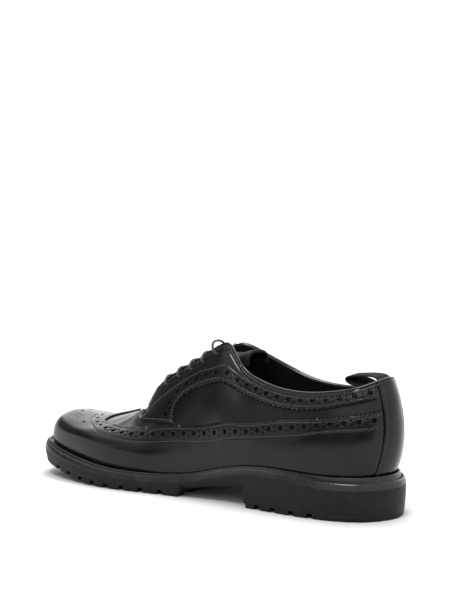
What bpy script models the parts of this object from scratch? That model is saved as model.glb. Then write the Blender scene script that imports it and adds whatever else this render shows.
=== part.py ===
"""Longwing brogue derby on a lugged rubber sole: a right shoe, standing empty.

Tables and sizes are in millimetres in the maker's frame: x forward from the back of the heel,
y towards the medial side, z up from the floor. to_world() moves them to metres about the
middle of the sole, with the toe along +X.

A place on the upper is (u, v). u runs round the shoe: 0 at the toe tip, 1 at the heel back by
the medial side, 2 at the toe again by the lateral side. v rises from the welt (0) to the edge
of the opening (1).
"""
import math

import bmesh
import bpy
import numpy as np

# Driving sizes
SOLE_LENGTH = 302.0
TOE_TIP_Y = 5.0
BAND_HEIGHT = 4.4
LUG_HEIGHT = 4.2
LUG_DEPTH = 12.0
LUG_INSET = 1.0
LUG_TAPER = 0.5
LUG_ROOT = 0.7
TOE_LUG_DEPTH = 14.0
WALL_INSET = 0.4
SHANK_INSET = 4.0
BEAD_LEAN = 0.7
UPPER_WALL = 2.0
PANEL_THICKNESS = 1.1
GAP = 0.3
INSOLE_THICKNESS = 3.0
TONGUE_THICKNESS = 2.4
LACE_DIAMETER = 1.6
TAB_WIDTH = 16.0
TAB_THICKNESS = 1.2
MM = 0.001

# Plan of the sole: a row for each station, with the half-width to each side
OUTLINE = (
    # x, medial, lateral
    (9.0, 22.5, 22.5),
    (26.0, 33.5, 34.0),
    (52.0, 38.2, 38.8),
    (92.0, 38.0, 41.5),
    (130.0, 36.8, 45.0),
    (165.0, 39.6, 49.5),
    (200.0, 45.4, 53.5),
    (228.0, 47.6, 53.5),
    (258.0, 44.6, 48.0),
    (281.0, 38.6, 36.5),
    (295.0, 29.5, 22.5),
)

# Height of the welt's top edge: the medial arch stands higher than the lateral side
WELT_TOP = (
    # x, medial z, lateral z
    (0.0, 25.3, 25.3),
    (30.0, 25.0, 25.0),
    (55.0, 26.4, 24.6),
    (80.0, 28.0, 23.6),
    (102.0, 26.6, 21.6),
    (124.0, 22.2, 18.8),
    (146.0, 16.8, 15.9),
    (170.0, 13.6, 13.9),
    (195.0, 12.9, 13.3),
    (222.0, 14.1, 14.3),
    (249.0, 17.4, 17.4),
    (270.0, 20.6, 20.6),
    (288.0, 23.9, 23.9),
    (302.0, 26.8, 26.8),
)

# Toe spring: how far the lugs' lower faces stand off the floor
TREAD_LIFT = (
    # x, z
    (0.0, 0.0),
    (200.0, 0.0),
    (222.0, 0.0),
    (236.0, 1.0),
    (248.0, 2.4),
    (261.0, 4.6),
    (275.0, 7.3),
    (288.0, 9.6),
    (302.0, 11.4),
)

# How far the foot of the upper stands in from the welt's edge, and the welt's bead above it
REVEAL = (
    # x, inset, bead height
    (0.0, 9.5, 2.6),
    (15.0, 8.5, 2.6),
    (40.0, 6.5, 2.4),
    (90.0, 4.0, 1.2),
    (130.0, 4.0, 1.0),
    (170.0, 6.0, 1.0),
    (210.0, 7.5, 1.0),
    (302.0, 7.5, 1.2),
)

# The welt across its reveal, from its outer edge to the bead beside the upper
WELT_PROFILE = (
    # share of the way in, height above the edge, share of the bead's height
    (0.00, 0.0, 0.0),
    (0.34, 0.1, 0.0),
    (0.46, -0.5, 0.0),
    (0.60, 0.2, 0.0),
    (0.74, 0.0, 1.0),
    (0.90, 0.0, 1.0),
    (1.00, 0.0, 0.45),
)
WELT_STEP = 0.2

# Ribs across the sole, by x, between the toe tip and the heel back
TREAD_END = 156.0
BREAST_TOP = 106.0
BREAST_FOOT = 100.0
RIB_X = (300.8, 297.5, 292.0, 284.0, 274.0, 262.0, 249.0, 235.0, 221.0, 207.0, 193.0, 179.0, 166.0,
         TREAD_END, 150.0, 139.0, 128.0, 117.0, BREAST_TOP, BREAST_FOOT, 88.0, 76.0, 64.0, 52.0,
         41.0, 31.0, 22.0, 14.0, 7.5, 3.0, 0.8)

# Sections of the upper, from the toe tip (s = 0) to the heel back (s = 1). Each rises from the
# welt to its point on the opening's edge. low, mid and high steer the curve between them, out
# from the last and up (high: down) in millimetres.
MEDIAL_SECTIONS = (
    # s, edge x, edge y, edge z, low out, low up, mid out, mid up, high out, high down
    (0.00, 215.5, 4.5, 53.3, 1.5, 37.0, -2.5, -20.5, 30.5, 7.8),
    (0.10, 215.2, 6.5, 53.5, 2.0, 29.0, -1.5, -14.0, 27.5, 12.0),
    (0.20, 214.0, 9.0, 54.0, 5.5, 26.5, 0.5, -7.5, 24.0, 13.5),
    (0.29, 209.0, 11.0, 56.5, 8.5, 24.5, 1.5, -2.0, 18.0, 16.5),
    (0.36, 200.0, 12.0, 66.5, 9.5, 23.5, 0.5, 0.0, 11.5, 20.5),
    (0.42, 186.0, 12.0, 78.3, 7.5, 22.5, -2.5, -0.5, 10.0, 18.5),
    (0.49, 165.0, 12.0, 90.2, 6.0, 24.0, -3.0, 1.0, 11.5, 16.5),
    (0.55, 147.0, 12.0, 100.3, 4.5, 24.0, -2.0, 1.5, 11.0, 17.5),
    (0.58, 137.5, 12.0, 105.7, 4.5, 24.0, -1.5, 1.5, 11.0, 19.0),
    (0.60, 131.0, 12.3, 107.5, 4.5, 24.0, -1.0, 1.0, 11.0, 20.0),
    (0.62, 126.4, 13.2, 104.8, 4.0, 23.5, -1.0, 1.0, 10.5, 19.5),
    (0.66, 115.5, 16.0, 93.5, 4.0, 22.0, -0.5, 0.5, 9.0, 17.5),
    (0.71, 101.0, 20.5, 86.5, 3.0, 20.0, 0.0, 0.0, 8.0, 15.5),
    (0.77, 81.0, 24.0, 81.8, 3.0, 19.0, 0.0, 0.0, 7.0, 14.0),
    (0.83, 58.0, 25.5, 80.2, 4.0, 18.0, 1.0, 0.0, 6.5, 13.0),
    (0.89, 35.0, 24.5, 82.4, 6.0, 16.0, 1.5, 0.0, 6.0, 12.0),
    (0.94, 19.0, 18.5, 86.0, 7.5, 15.0, 2.0, 0.0, 6.0, 12.0),
    (0.975, 11.6, 9.5, 89.6, 8.5, 16.0, 2.0, 0.0, 5.5, 12.0),
)
HEEL_SECTION = (1.00, 8.8, 0.0, 91.2, 9.0, 16.0, 2.0, 0.0, 5.2, 12.0)
LATERAL_SECTIONS = (
    # s, edge x, edge y, edge z, low out, low up, mid out, mid up, high out, high down
    (0.10, 215.2, 2.5, 53.4, 3.5, 29.0, -1.5, -14.4, 27.5, 12.2),
    (0.20, 214.0, 0.0, 53.8, 7.5, 25.5, 0.5, -8.0, 25.5, 12.6),
    (0.29, 209.0, -2.0, 56.0, 9.5, 24.0, 1.5, -2.0, 20.5, 15.5),
    (0.36, 200.0, -3.2, 65.5, 10.5, 23.5, 0.5, 0.0, 15.5, 19.5),
    (0.42, 186.0, -4.0, 77.0, 8.5, 22.5, -2.5, -0.5, 15.0, 18.0),
    (0.49, 165.0, -5.0, 89.0, 7.0, 24.0, -3.0, 1.0, 15.5, 16.5),
    (0.55, 148.0, -6.0, 98.6, 5.5, 24.0, -2.0, 1.5, 14.0, 17.5),
    (0.58, 139.5, -6.7, 103.6, 5.5, 24.0, -1.5, 1.5, 13.5, 19.0),
    (0.60, 133.5, -7.6, 105.6, 5.5, 24.0, -1.0, 1.0, 13.0, 20.0),
    (0.62, 128.4, -9.6, 104.6, 5.5, 23.5, -1.0, 1.0, 11.5, 19.5),
    (0.66, 117.0, -14.5, 98.5, 5.0, 22.0, -0.5, 0.5, 9.5, 18.5),
    (0.71, 101.5, -20.5, 90.0, 4.0, 20.0, 0.0, 0.0, 8.0, 16.5),
    (0.77, 82.0, -24.5, 82.2, 4.0, 19.0, 0.0, 0.0, 7.0, 14.0),
    (0.83, 58.0, -26.0, 79.2, 4.0, 18.0, 1.0, 0.0, 6.5, 13.0),
    (0.89, 35.5, -24.5, 81.0, 6.0, 16.0, 1.5, 0.0, 6.0, 12.0),
    (0.94, 19.5, -18.5, 85.2, 7.5, 15.0, 2.0, 0.0, 6.0, 12.0),
    (0.975, 11.8, -9.5, 89.4, 8.5, 16.0, 2.0, 0.0, 5.5, 12.0),
)

# The wing's upper edge on each side, from its peak at the throat to the back strip
WING_EDGE = (
    # s, v
    (0.000, 0.970),
    (0.020, 0.965),
    (0.034, 0.930),
    (0.043, 0.840),
    (0.048, 0.760),
    (0.056, 0.706),
    (0.073, 0.718),
    (0.100, 0.738),
    (0.150, 0.752),
    (0.250, 0.722),
    (0.326, 0.645),
    (0.386, 0.537),
    (0.448, 0.459),
    (0.500, 0.405),
    (0.593, 0.355),
    (0.660, 0.420),
    (0.720, 0.517),
    (0.786, 0.645),
    (0.850, 0.700),
    (0.912, 0.718),
    (0.970, 0.705),
)

# The lower edge of the facing: under the tab, up its back, and along the collar band
FACING_EDGE = (
    # s, v
    (0.357, 0.700),
    (0.390, 0.615),
    (0.430, 0.525),
    (0.473, 0.450),
    (0.476, 0.610),
    (0.489, 0.671),
    (0.522, 0.694),
    (0.553, 0.688),
    (0.592, 0.668),
    (0.632, 0.690),
    (0.671, 0.750),
    (0.719, 0.764),
    (0.757, 0.757),
    (0.791, 0.768),
    (0.874, 0.800),
    (0.915, 0.822),
    (0.970, 0.810),
)
FACING_FRONT = 0.357

# The opening's edge dips in front of each facing, where the vamp runs under the tongue, and the
# facing's front corner is rounded off
VAMP_DIP_START = 0.24
VAMP_DIP_END = 0.345
VAMP_DIP_DEPTH = 0.19
CORNER_END = 0.4
CORNER_DEPTH = 0.1
CORNER_POWER = 3

# The strip over the back seam widens from the collar to the welt
BACKSTAY_FOOT = 0.944
BACKSTAY_SPREAD = 0.029
SEAM_GAP = 0.0016
PANEL_FOOT = 0.018

# Columns and rows shared by the upper and the panels cut to lie on it
STATIONS = (0.0, 0.02, 0.034, 0.043, 0.048, 0.056, 0.073, 0.1, 0.14, 0.19, 0.24, 0.29, 0.345, FACING_FRONT,
            0.371, 0.39, 0.43, 0.473, 0.476, 0.489, 0.522, 0.553, 0.58, 0.598, 0.612, 0.632, 0.671, 0.719,
            0.757, 0.79, 0.85, 0.9, 0.95, 1.0)
WING_ROWS = (0.0, 0.14, 0.34, 0.56, 0.79, 1.0)
FACING_ROWS = (0.0, 0.3, 0.6, 0.83, 1.0)
BARE_SHARE = 0.35
BEND_FROM = 0.85
BACK_COLUMNS = 7

# The tongue: sections along it with their room under the upper, and its free top
TONGUE_SECTIONS = (
    # s, clear of the upper's inside
    (0.13, 4.5),
    (0.24, 4.5),
    (0.29, 3.6),
    (0.345, 2.4),
    (0.357, 2.0),
    (0.39, 1.6),
    (0.43, 1.4),
    (0.476, 1.4),
    (0.522, 1.4),
    (0.553, 1.4),
    (0.58, 1.4),
)
TONGUE_TOP = (
    # x, crown y, crown z, medial reach, lateral reach, drop to the sides
    (126.5, 1.0, 104.2, 9.4, 8.8, 9.0),
    (119.5, 1.2, 104.2, 11.0, 11.4, 9.6),
    (114.0, 1.6, 103.2, 11.4, 13.8, 11.0),
)
TONGUE_ARCH = (
    # share of the reach, share of the drop
    (1.0, 1.0),
    (0.97, 0.62),
    (0.86, 0.28),
    (0.5, 0.06),
)
TONGUE_ROWS = (0.87, 0.93, 0.98)
TONGUE_CROWN = 0.05

# Notches between the lugs, by x, the same on both sides
FOREFOOT_NOTCHES = (271.0, 257.5, 244.0, 231.0, 218.0, 204.0, 188.0, 172.0)
HEEL_NOTCHES = (89.0, 75.5, 61.0, 46.5)
NOTCH_WIDTH = 4.6
SHANK_FRONT_Z = 5.6
SHANK_BACK_Z = 14.0

# Bars of tread between the outer lugs
CENTRE_BARS = (
    # x of the back, x of the front, medial reach, lateral reach
    (160.0, 171.0, 20.0, 28.0),
    (176.0, 187.0, 22.0, 31.0),
    (192.0, 203.0, 25.0, 33.0),
    (208.0, 219.0, 28.0, 34.0),
    (224.0, 235.0, 28.0, 32.0),
    (240.0, 251.0, 25.0, 28.0),
    (256.0, 267.0, 20.0, 22.0),
    (36.0, 47.0, 16.0, 16.0),
    (53.0, 64.0, 20.0, 20.0),
    (70.0, 81.0, 20.0, 22.0),
)

# Eyelets: s of each, from the throat to the collar, and how far below the edge
EYELETS = (0.428, 0.466, 0.503, 0.541, 0.579)
LACE_RISE_V = (0.925, 0.94, 0.965, 1.0)
LACE_RISE = (0.0, 2.2, 3.8, 4.0)

# Path of the woven loop inside the heel: the upper strand out, its nose, and the lower strand back
TAB_PATH = (
    # x, z
    (12.6, 92.4),
    (15.0, 93.5),
    (20.0, 93.8),
    (26.0, 93.3),
    (32.0, 92.3),
    (36.4, 91.2),
    (38.3, 90.2),
    (37.8, 89.0),
    (35.0, 87.8),
    (30.0, 86.9),
    (24.0, 86.3),
    (18.5, 85.5),
    (14.5, 83.9),
)
TAB_TWIST_START = 12.6
TAB_TWIST_END = 38.3
TAB_TWIST = 0.2

LEATHER = (0.012, 0.012, 0.013)
RUBBER = (0.014, 0.014, 0.014)


def periodic_spline(knots, values, period):
    """Smooth closed curve through a value at each knot."""
    t = np.asarray(knots, float)
    y = np.asarray(values, float)
    n = len(t)
    h = np.diff(np.append(t, t[0] + period))
    rise = (np.roll(y, -1, axis=0) - y) / h[:, None]
    system = np.zeros((n, n))
    right = np.zeros_like(y)
    for i in range(n):
        system[i, i - 1] += h[i]
        system[i, i] += 2 * (h[i - 1] + h[i])
        system[i, (i + 1) % n] += h[i - 1]
        right[i] = 3 * (h[i] * rise[i - 1] + h[i - 1] * rise[i])
    slope = np.linalg.solve(system, right)

    def curve(u):
        w = np.mod(np.asarray(u, float) - t[0], period) + t[0]
        i = np.clip(np.searchsorted(t, w, side="right") - 1, 0, n - 1)
        j = (i + 1) % n
        k = ((w - t[i]) / h[i])[..., None]
        return hermite(k, h[i][..., None], y[i], y[j], slope[i], slope[j])
    return curve


def hermite(k, h, y0, y1, m0, m1):
    """Cubic between two values with their slopes."""
    rest = 1 - k
    start = (1 + 2 * k) * rest * rest * y0 + k * rest * rest * h * m0
    end = k * k * (3 - 2 * k) * y1 - k * k * rest * h * m1
    return start + end


def table_curve(rows, column):
    """Smooth curve through one column of a table, by its first column."""
    x = np.array([row[0] for row in rows])
    y = np.array([row[column] for row in rows])
    n = len(x)
    h = np.diff(x)
    rise = np.diff(y) / h
    system = np.zeros((n, n))
    right = np.zeros(n)
    system[0, :2] = (2, 1)
    system[-1, -2:] = (1, 2)
    right[0] = 3 * rise[0]
    right[-1] = 3 * rise[-1]
    for i in range(1, n - 1):
        system[i, i - 1:i + 2] = (h[i], 2 * (h[i - 1] + h[i]), h[i - 1])
        right[i] = 3 * (h[i] * rise[i - 1] + h[i - 1] * rise[i])
    slope = np.linalg.solve(system, right)

    def curve(q):
        q = np.clip(np.asarray(q, float), x[0], x[-1])
        i = np.clip(np.searchsorted(x, q, side="right") - 1, 0, n - 2)
        return hermite((q - x[i]) / h[i], h[i], y[i], y[i + 1], slope[i], slope[i + 1])
    return curve


def piecewise(rows):
    """Straight stretches between the rows of a two-column table."""
    x = [row[0] for row in rows]
    y = [row[1] for row in rows]
    return lambda s: np.interp(s, x, y)


class SolePlan:
    """The sole's outline from above, by u."""

    def __init__(self):
        medial = [(x, m) for x, m, _ in reversed(OUTLINE)]
        lateral = [(x, -side) for x, _, side in OUTLINE]
        points = np.array([(SOLE_LENGTH, TOE_TIP_Y)] + medial + [(0.0, 0.0)] + lateral)
        chord = np.linalg.norm(np.roll(points, -1, axis=0) - points, axis=1) ** 0.7
        knots = np.append(0.0, np.cumsum(chord))
        self.curve = periodic_spline(knots[:-1], points, knots[-1])
        self.t = np.linspace(0.0, knots[-1], 4001)
        path = self.curve(self.t)
        length = np.append(0.0, np.cumsum(np.linalg.norm(np.diff(path, axis=0), axis=1)))
        heel = np.interp(knots[1 + len(medial)], self.t, length)
        self.u = np.where(length <= heel, length / heel, 1 + (length - heel) / (length[-1] - heel))
        self.x = path[:, 0]

    def point(self, u):
        return self.curve(np.interp(np.mod(u, 2.0), self.u, self.t))

    def normal(self, u, step=0.001):
        along = self.point(np.asarray(u) + step) - self.point(np.asarray(u) - step)
        out = np.stack([along[..., 1], -along[..., 0]], axis=-1)
        return out / np.linalg.norm(out, axis=-1, keepdims=True)

    def u_at(self, x, lateral=False):
        """u of the outline's point at x, on one side."""
        side = (self.u >= 1) if lateral else (self.u <= 1)
        xs = self.x[side]
        us = self.u[side]
        order = np.argsort(xs)
        return np.interp(x, xs[order], us[order])


PLAN = SolePlan()
WELT_MEDIAL = table_curve(WELT_TOP, 1)
WELT_LATERAL = table_curve(WELT_TOP, 2)
TREAD = piecewise(TREAD_LIFT)
REVEAL_AT = table_curve(REVEAL, 1)
BEAD_AT = table_curve(REVEAL, 2)


def welt_height(u):
    """Height of the welt's top edge at u."""
    x = PLAN.point(u)[..., 0]
    return np.where(np.mod(u, 2.0) <= 1.0, WELT_MEDIAL(x), WELT_LATERAL(x))


def reveal(u):
    return REVEAL_AT(PLAN.point(u)[..., 0])


def bead(u):
    return BEAD_AT(PLAN.point(u)[..., 0])


def plan_inset(u, inset):
    """Points of the outline moved in by inset."""
    return PLAN.point(u) - PLAN.normal(u) * np.broadcast_to(inset, np.shape(u))[..., None]


class LastForm:
    """The upper's outer surface over the last."""

    def __init__(self):
        mirrored = [(2 - row[0],) + row[1:] for row in reversed(LATERAL_SECTIONS)]
        rows = np.array(list(MEDIAL_SECTIONS) + [HEEL_SECTION] + mirrored)
        self.columns = periodic_spline(rows[:, 0], rows[:, 1:], 2.0)

    def point(self, u, v):
        u, v = np.broadcast_arrays(np.asarray(u, float), np.asarray(v, float))
        column = self.columns(u)
        foot = np.concatenate([plan_inset(u, reveal(u)), (welt_height(u) + GAP)[..., None]], axis=-1)
        out = np.concatenate([PLAN.normal(u), np.zeros(u.shape + (1,))], axis=-1)
        up = np.array([0.0, 0.0, 1.0])
        edge = column[..., 0:3]
        low = foot + out * column[..., 3:4] + up * column[..., 4:5]
        high = edge + out * column[..., 7:8] - up * column[..., 8:9]
        mid = 0.5 * (low + high) + out * column[..., 5:6] + up * column[..., 6:7]
        v = v[..., None]
        w = 1 - v
        ends = w ** 4 * foot + v ** 4 * edge
        return ends + 4 * w ** 3 * v * low + 6 * w * w * v * v * mid + 4 * w * v ** 3 * high

    def lifted(self, u, v, lift, step=0.002):
        """The surface moved out along its normal."""
        u, v = np.broadcast_arrays(np.asarray(u, float), np.asarray(v, float))
        along = self.point(u + step, v) - self.point(u - step, v)
        rise = self.point(u, v + step) - self.point(u, v - step)
        normal = np.cross(along, rise)
        normal /= np.linalg.norm(normal, axis=-1, keepdims=True)
        return self.point(u, v) + normal * np.broadcast_to(lift, u.shape)[..., None]


FORM = LastForm()


def rib_stations():
    """u of the sole's ribs: pairs at the same x on the two sides, between toe tip and heel back."""
    medial = [float(PLAN.u_at(x)) for x in RIB_X]
    lateral = [float(PLAN.u_at(x, True)) for x in reversed(RIB_X)]
    return np.array([0.0] + medial + [1.0] + lateral)


RIBS = rib_stations()
RIM = PLAN.point(RIBS)
CENTRE = np.array([*(0.5 * (RIM.min(axis=0) + RIM.max(axis=0))), 0.0])


def to_world(points):
    """Millimetres in the maker's frame to metres about the sole's middle."""
    return (np.asarray(points) - CENTRE) * MM


def new_collection(name):
    collection = bpy.data.collections.new(name)
    bpy.context.scene.collection.children.link(collection)
    return collection


def finish_material(name, colour, roughness):
    material = bpy.data.materials.new(name)
    material.use_nodes = True
    shader = material.node_tree.nodes["Principled BSDF"]
    shader.inputs["Base Color"].default_value = (*colour, 1.0)
    shader.inputs["Roughness"].default_value = roughness
    shader.inputs["Metallic"].default_value = 0.0
    return material


def add_piece(name, points, faces, material, collection):
    """A mesh object from millimetre points, shaded smooth except at its corners."""
    mesh = bpy.data.meshes.new(name)
    mesh.from_pydata([tuple(p) for p in to_world(points)], [], faces)
    mesh.materials.append(material)
    mesh.shade_smooth()
    mesh.set_sharp_from_angle(angle=math.radians(40.0))
    piece = bpy.data.objects.new(name, mesh)
    collection.objects.link(piece)
    return piece


def grid_faces(columns, rows, closed):
    """Quads of a grid of columns by rows, numbered column by column."""
    faces = []
    for i in range(columns if closed else columns - 1):
        for j in range(rows - 1):
            a = i * rows + j
            b = ((i + 1) % columns) * rows + j
            faces.append((a, b, b + 1, a + 1))
    return faces


def add_shell(name, surface, closed, thickness, material, collection):
    """A sheet with a wall: surface holds its outer points, by column and row."""
    columns, rows, _ = surface.shape
    piece = add_piece(name, surface.reshape(-1, 3), grid_faces(columns, rows, closed), material, collection)
    wall = piece.modifiers.new("wall", "SOLIDIFY")
    wall.thickness = thickness * MM
    wall.offset = -1.0
    return piece


def loft(loops):
    """Closed solid through loops of the sole's ribs, ruled across at both ends."""
    count = len(RIBS)
    faces = []
    for k in range(len(loops) - 1):
        for i in range(count):
            j = (i + 1) % count
            a = k * count
            b = a + count
            faces.append((a + i, a + j, b + j, b + i))
    last = (len(loops) - 1) * count
    half = count // 2
    for i in range(half):
        near, far = i, i + 1
        near_other, far_other = (count - i) % count, count - i - 1
        halves = [(near, far, far_other), (near, far_other, near_other)]
        for ring in halves:
            if len(set(ring)) == 3:
                faces.append(tuple(reversed(ring)))
                faces.append(tuple(last + k for k in ring))
    return np.concatenate(loops), faces


def sole_loop(inset, height):
    """A loop over the sole's ribs, moved in by inset, at height."""
    plan = plan_inset(RIBS, inset)
    return np.column_stack([plan, np.broadcast_to(height, RIBS.shape)])


def tread_ceiling(x):
    """Height of the sole's underside, without its lugs."""
    fore = TREAD(x) + LUG_HEIGHT
    along = (TREAD_END - x) / (TREAD_END - BREAST_TOP)
    shank = SHANK_FRONT_Z + (SHANK_BACK_Z - SHANK_FRONT_Z) * np.clip(along, 0.0, 1.0)
    rear = np.where(x > BREAST_FOOT + 1.0, shank, LUG_HEIGHT)
    return np.where(x >= TREAD_END - 1.0, fore, rear)


def lug_prism(corners):
    """Bottom and top loops of one lug over plan corners, narrower at the floor."""
    corners = np.asarray(corners)
    middle = corners.mean(axis=0)
    reach = np.linalg.norm(corners - middle, axis=1, keepdims=True)
    foot = middle + (corners - middle) * (1 - LUG_TAPER / reach)
    bottom = np.column_stack([foot, TREAD(corners[:, 0])])
    top = np.column_stack([corners, tread_ceiling(corners[:, 0]) + LUG_ROOT])
    return bottom, top


def outer_lug(u_start, u_end, count, depth):
    """Plan corners of a lug along the sole's edge."""
    u = np.linspace(u_start, u_end, count)
    return np.concatenate([plan_inset(u, LUG_INSET), plan_inset(u[::-1], depth)])


def lug_plans():
    """Plan corners of every lug: edge lugs between the notches, the toe and heel, and centre bars."""
    half = 0.5 * NOTCH_WIDTH
    forefoot_ends = FOREFOOT_NOTCHES + (TREAD_END + LUG_TAPER - half,)
    heel_ends = (BREAST_FOOT - LUG_TAPER + half,) + HEEL_NOTCHES
    plans = []
    for ends in (forefoot_ends, heel_ends):
        for front, back in zip(ends[:-1], ends[1:]):
            for lateral in (False, True):
                start = PLAN.u_at(front - half, lateral)
                end = PLAN.u_at(back + half, lateral)
                plans.append(outer_lug(start, end, 3, LUG_DEPTH))
    toe = FOREFOOT_NOTCHES[0] + half
    plans.append(outer_lug(PLAN.u_at(toe, True) - 2.0, PLAN.u_at(toe), 9, TOE_LUG_DEPTH))
    heel = HEEL_NOTCHES[-1] - half
    plans.append(outer_lug(PLAN.u_at(heel), PLAN.u_at(heel, True), 13, LUG_DEPTH))
    for back, front, medial, lateral in CENTRE_BARS:
        plans.append([(back, medial), (front, medial), (front, -lateral), (back, -lateral)])
    return plans


def signed_area(corners):
    x, y = np.asarray(corners).T
    return 0.5 * np.sum(x * np.roll(y, -1) - y * np.roll(x, -1))


def make_outsole(material, collection, cutters):
    edge = welt_height(RIBS)
    x = PLAN.point(RIBS)[:, 0]
    top = edge - BAND_HEIGHT - GAP
    shank = (x < TREAD_END - 1.0) & (x > BREAST_FOOT + 1.0)
    foot = tread_ceiling(x)
    loops = [sole_loop(np.where(shank, SHANK_INSET, LUG_INSET), foot),
             sole_loop(np.where(shank, 0.25 * SHANK_INSET, WALL_INSET), 0.5 * (foot + top)),
             sole_loop(0.0, top)]
    points, faces = loft(loops)
    sole = add_piece("outsole", points, faces, material, collection)
    lug_points = []
    lug_faces = []
    for corners in lug_plans():
        if signed_area(corners) < 0:
            corners = corners[::-1]
        bottom, top_end = lug_prism(corners)
        base = sum(len(p) for p in lug_points)
        n = len(corners)
        lug_points.append(np.concatenate([bottom, top_end]))
        lug_faces.append(tuple(base + k for k in reversed(range(n))))
        lug_faces.append(tuple(base + n + k for k in range(n)))
        for k in range(n):
            j = (k + 1) % n
            lug_faces.append((base + k, base + j, base + n + j, base + n + k))
    lugs = add_piece("lug_blocks", np.concatenate(lug_points), lug_faces, material, cutters)
    lugs.hide_render = True
    lugs.display_type = "WIRE"
    for piece in (sole, lugs):
        shape = bmesh.new()
        shape.from_mesh(piece.data)
        bmesh.ops.triangulate(shape, faces=shape.faces[:])
        bmesh.ops.recalc_face_normals(shape, faces=shape.faces[:])
        shape.to_mesh(piece.data)
        shape.free()
    join = sole.modifiers.new("lugs", "BOOLEAN")
    join.operation = "UNION"
    join.object = lugs
    return sole


def make_welt(material, collection):
    """Edge band and storm welt: a plate with a groove for the stitches and a raised bead."""
    edge = welt_height(RIBS)
    rise = bead(RIBS)
    inner = reveal(RIBS) - PANEL_THICKNESS - 3 * GAP - BEAD_LEAN * rise
    loops = [sole_loop(0.0, edge - BAND_HEIGHT)]
    for share, height, bead_share in WELT_PROFILE:
        loops.append(sole_loop(share * inner, edge + height + bead_share * rise))
    loops.append(sole_loop(inner + WELT_STEP, edge))
    points, faces = loft(loops)
    return add_piece("welt", points, faces, material, collection)


def make_insole(material, collection):
    inset = reveal(RIBS) + UPPER_WALL + 2 * GAP
    floor = welt_height(RIBS) + 2 * GAP
    points, faces = loft([sole_loop(inset, floor), sole_loop(inset, floor + INSOLE_THICKNESS)])
    return add_piece("insole", points, faces, material, collection)


WING_TOP = piecewise(WING_EDGE)
FACING_FOOT = piecewise(FACING_EDGE)


def opening_edge(s):
    """v of the opening's edge: the vamp keeps less of each section just in front of the facings."""
    ramp = np.clip((s - VAMP_DIP_START) / (VAMP_DIP_END - VAMP_DIP_START), 0.0, 1.0)
    dip = VAMP_DIP_DEPTH * ramp * ramp * (3 - 2 * ramp)
    left = np.clip((CORNER_END - s) / (CORNER_END - FACING_FRONT), 0.0, 1.0)
    return 1.0 - np.where(s < FACING_FRONT, dip, CORNER_DEPTH * left ** CORNER_POWER)


def row_heights(s):
    """v of the grid's rows at s: welt, wing foot to wing edge, bare stretch, facing to opening."""
    s = np.asarray(s, float)[:, None]
    wing = WING_TOP(s)
    top = opening_edge(s)
    facing = np.where(s < FACING_FRONT, wing + BARE_SHARE * (top - wing), FACING_FOOT(s))
    wing_rows = PANEL_FOOT + (wing - PANEL_FOOT) * np.array(WING_ROWS)
    bare_row = 0.5 * (wing + facing)
    facing_rows = facing + (top - facing) * np.array(FACING_ROWS)
    return np.concatenate([np.zeros_like(s), wing_rows, bare_row, facing_rows], axis=1)


def backstay_edge(v):
    """s of the back strip's edge at height v."""
    return BACKSTAY_FOOT + BACKSTAY_SPREAD * (1 - (1 - np.clip(v, 0.0, 1.0)) ** 2)


def side_grid():
    """u and v of one side's columns, drawn on to the edge of the back strip at their end."""
    s = np.array(STATIONS)
    v = row_heights(s)
    share = np.clip((s - BEND_FROM) / (1.0 - BEND_FROM), 0.0, 1.0)[:, None]
    drawn = BEND_FROM + share * (backstay_edge(v) - SEAM_GAP - BEND_FROM)
    return np.where(share > 0.0, drawn, s[:, None]), v


def back_grid():
    """u and v of the columns across the back strip."""
    across = np.linspace(-1.0, 1.0, BACK_COLUMNS)[:, None]
    v = row_heights(np.ones(BACK_COLUMNS))
    return 1.0 + across * (1.0 - backstay_edge(v)), v


SIDE_U, SIDE_V = side_grid()
BACK_U, BACK_V = back_grid()
WING_SLICE = slice(1, 1 + len(WING_ROWS))
FACING_SLICE = slice(2 + len(WING_ROWS), 2 + len(WING_ROWS) + len(FACING_ROWS))
PANEL_LIFT = GAP + PANEL_THICKNESS


def make_upper(material, collection):
    u = np.concatenate([SIDE_U, BACK_U, 2.0 - SIDE_U[:0:-1]])
    v = np.concatenate([SIDE_V, BACK_V, SIDE_V[:0:-1]])
    return add_shell("upper", FORM.point(u, v), True, UPPER_WALL, material, collection)


def make_wing(material, collection):
    u = np.concatenate([-SIDE_U[:0:-1], SIDE_U])[:, WING_SLICE]
    v = np.concatenate([SIDE_V[:0:-1], SIDE_V])[:, WING_SLICE]
    surface = FORM.lifted(u, v, PANEL_LIFT)
    return add_shell("wing", surface, False, PANEL_THICKNESS, material, collection)


def make_facing(name, lateral, material, collection):
    front = STATIONS.index(FACING_FRONT)
    u = SIDE_U[front:, FACING_SLICE]
    v = SIDE_V[front:, FACING_SLICE]
    if lateral:
        u = -u[::-1]
        v = v[::-1]
    surface = FORM.lifted(u, v, PANEL_LIFT)
    return add_shell(name, surface, False, PANEL_THICKNESS, material, collection)


def make_backstay(material, collection):
    surface = FORM.lifted(BACK_U[:, 1:], BACK_V[:, 1:], PANEL_LIFT)
    return add_shell("backstay", surface, False, PANEL_THICKNESS, material, collection)


def tongue_section(s, depth):
    """Points across the tongue under both facings at s, from the medial side to the lateral."""
    v = np.array(TONGUE_ROWS) * opening_edge(s)
    medial = FORM.lifted(s, v, -depth)
    lateral = FORM.lifted(-s, v, -depth)
    span = lateral[-1] - medial[-1]
    crown = np.array([0.0, 0.0, TONGUE_CROWN * np.linalg.norm(span)])
    middle = [medial[-1] + span * k + crown * 4 * k * (1 - k) for k in (0.25, 0.5, 0.75)]
    return np.concatenate([medial, middle, lateral[::-1]])


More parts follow.
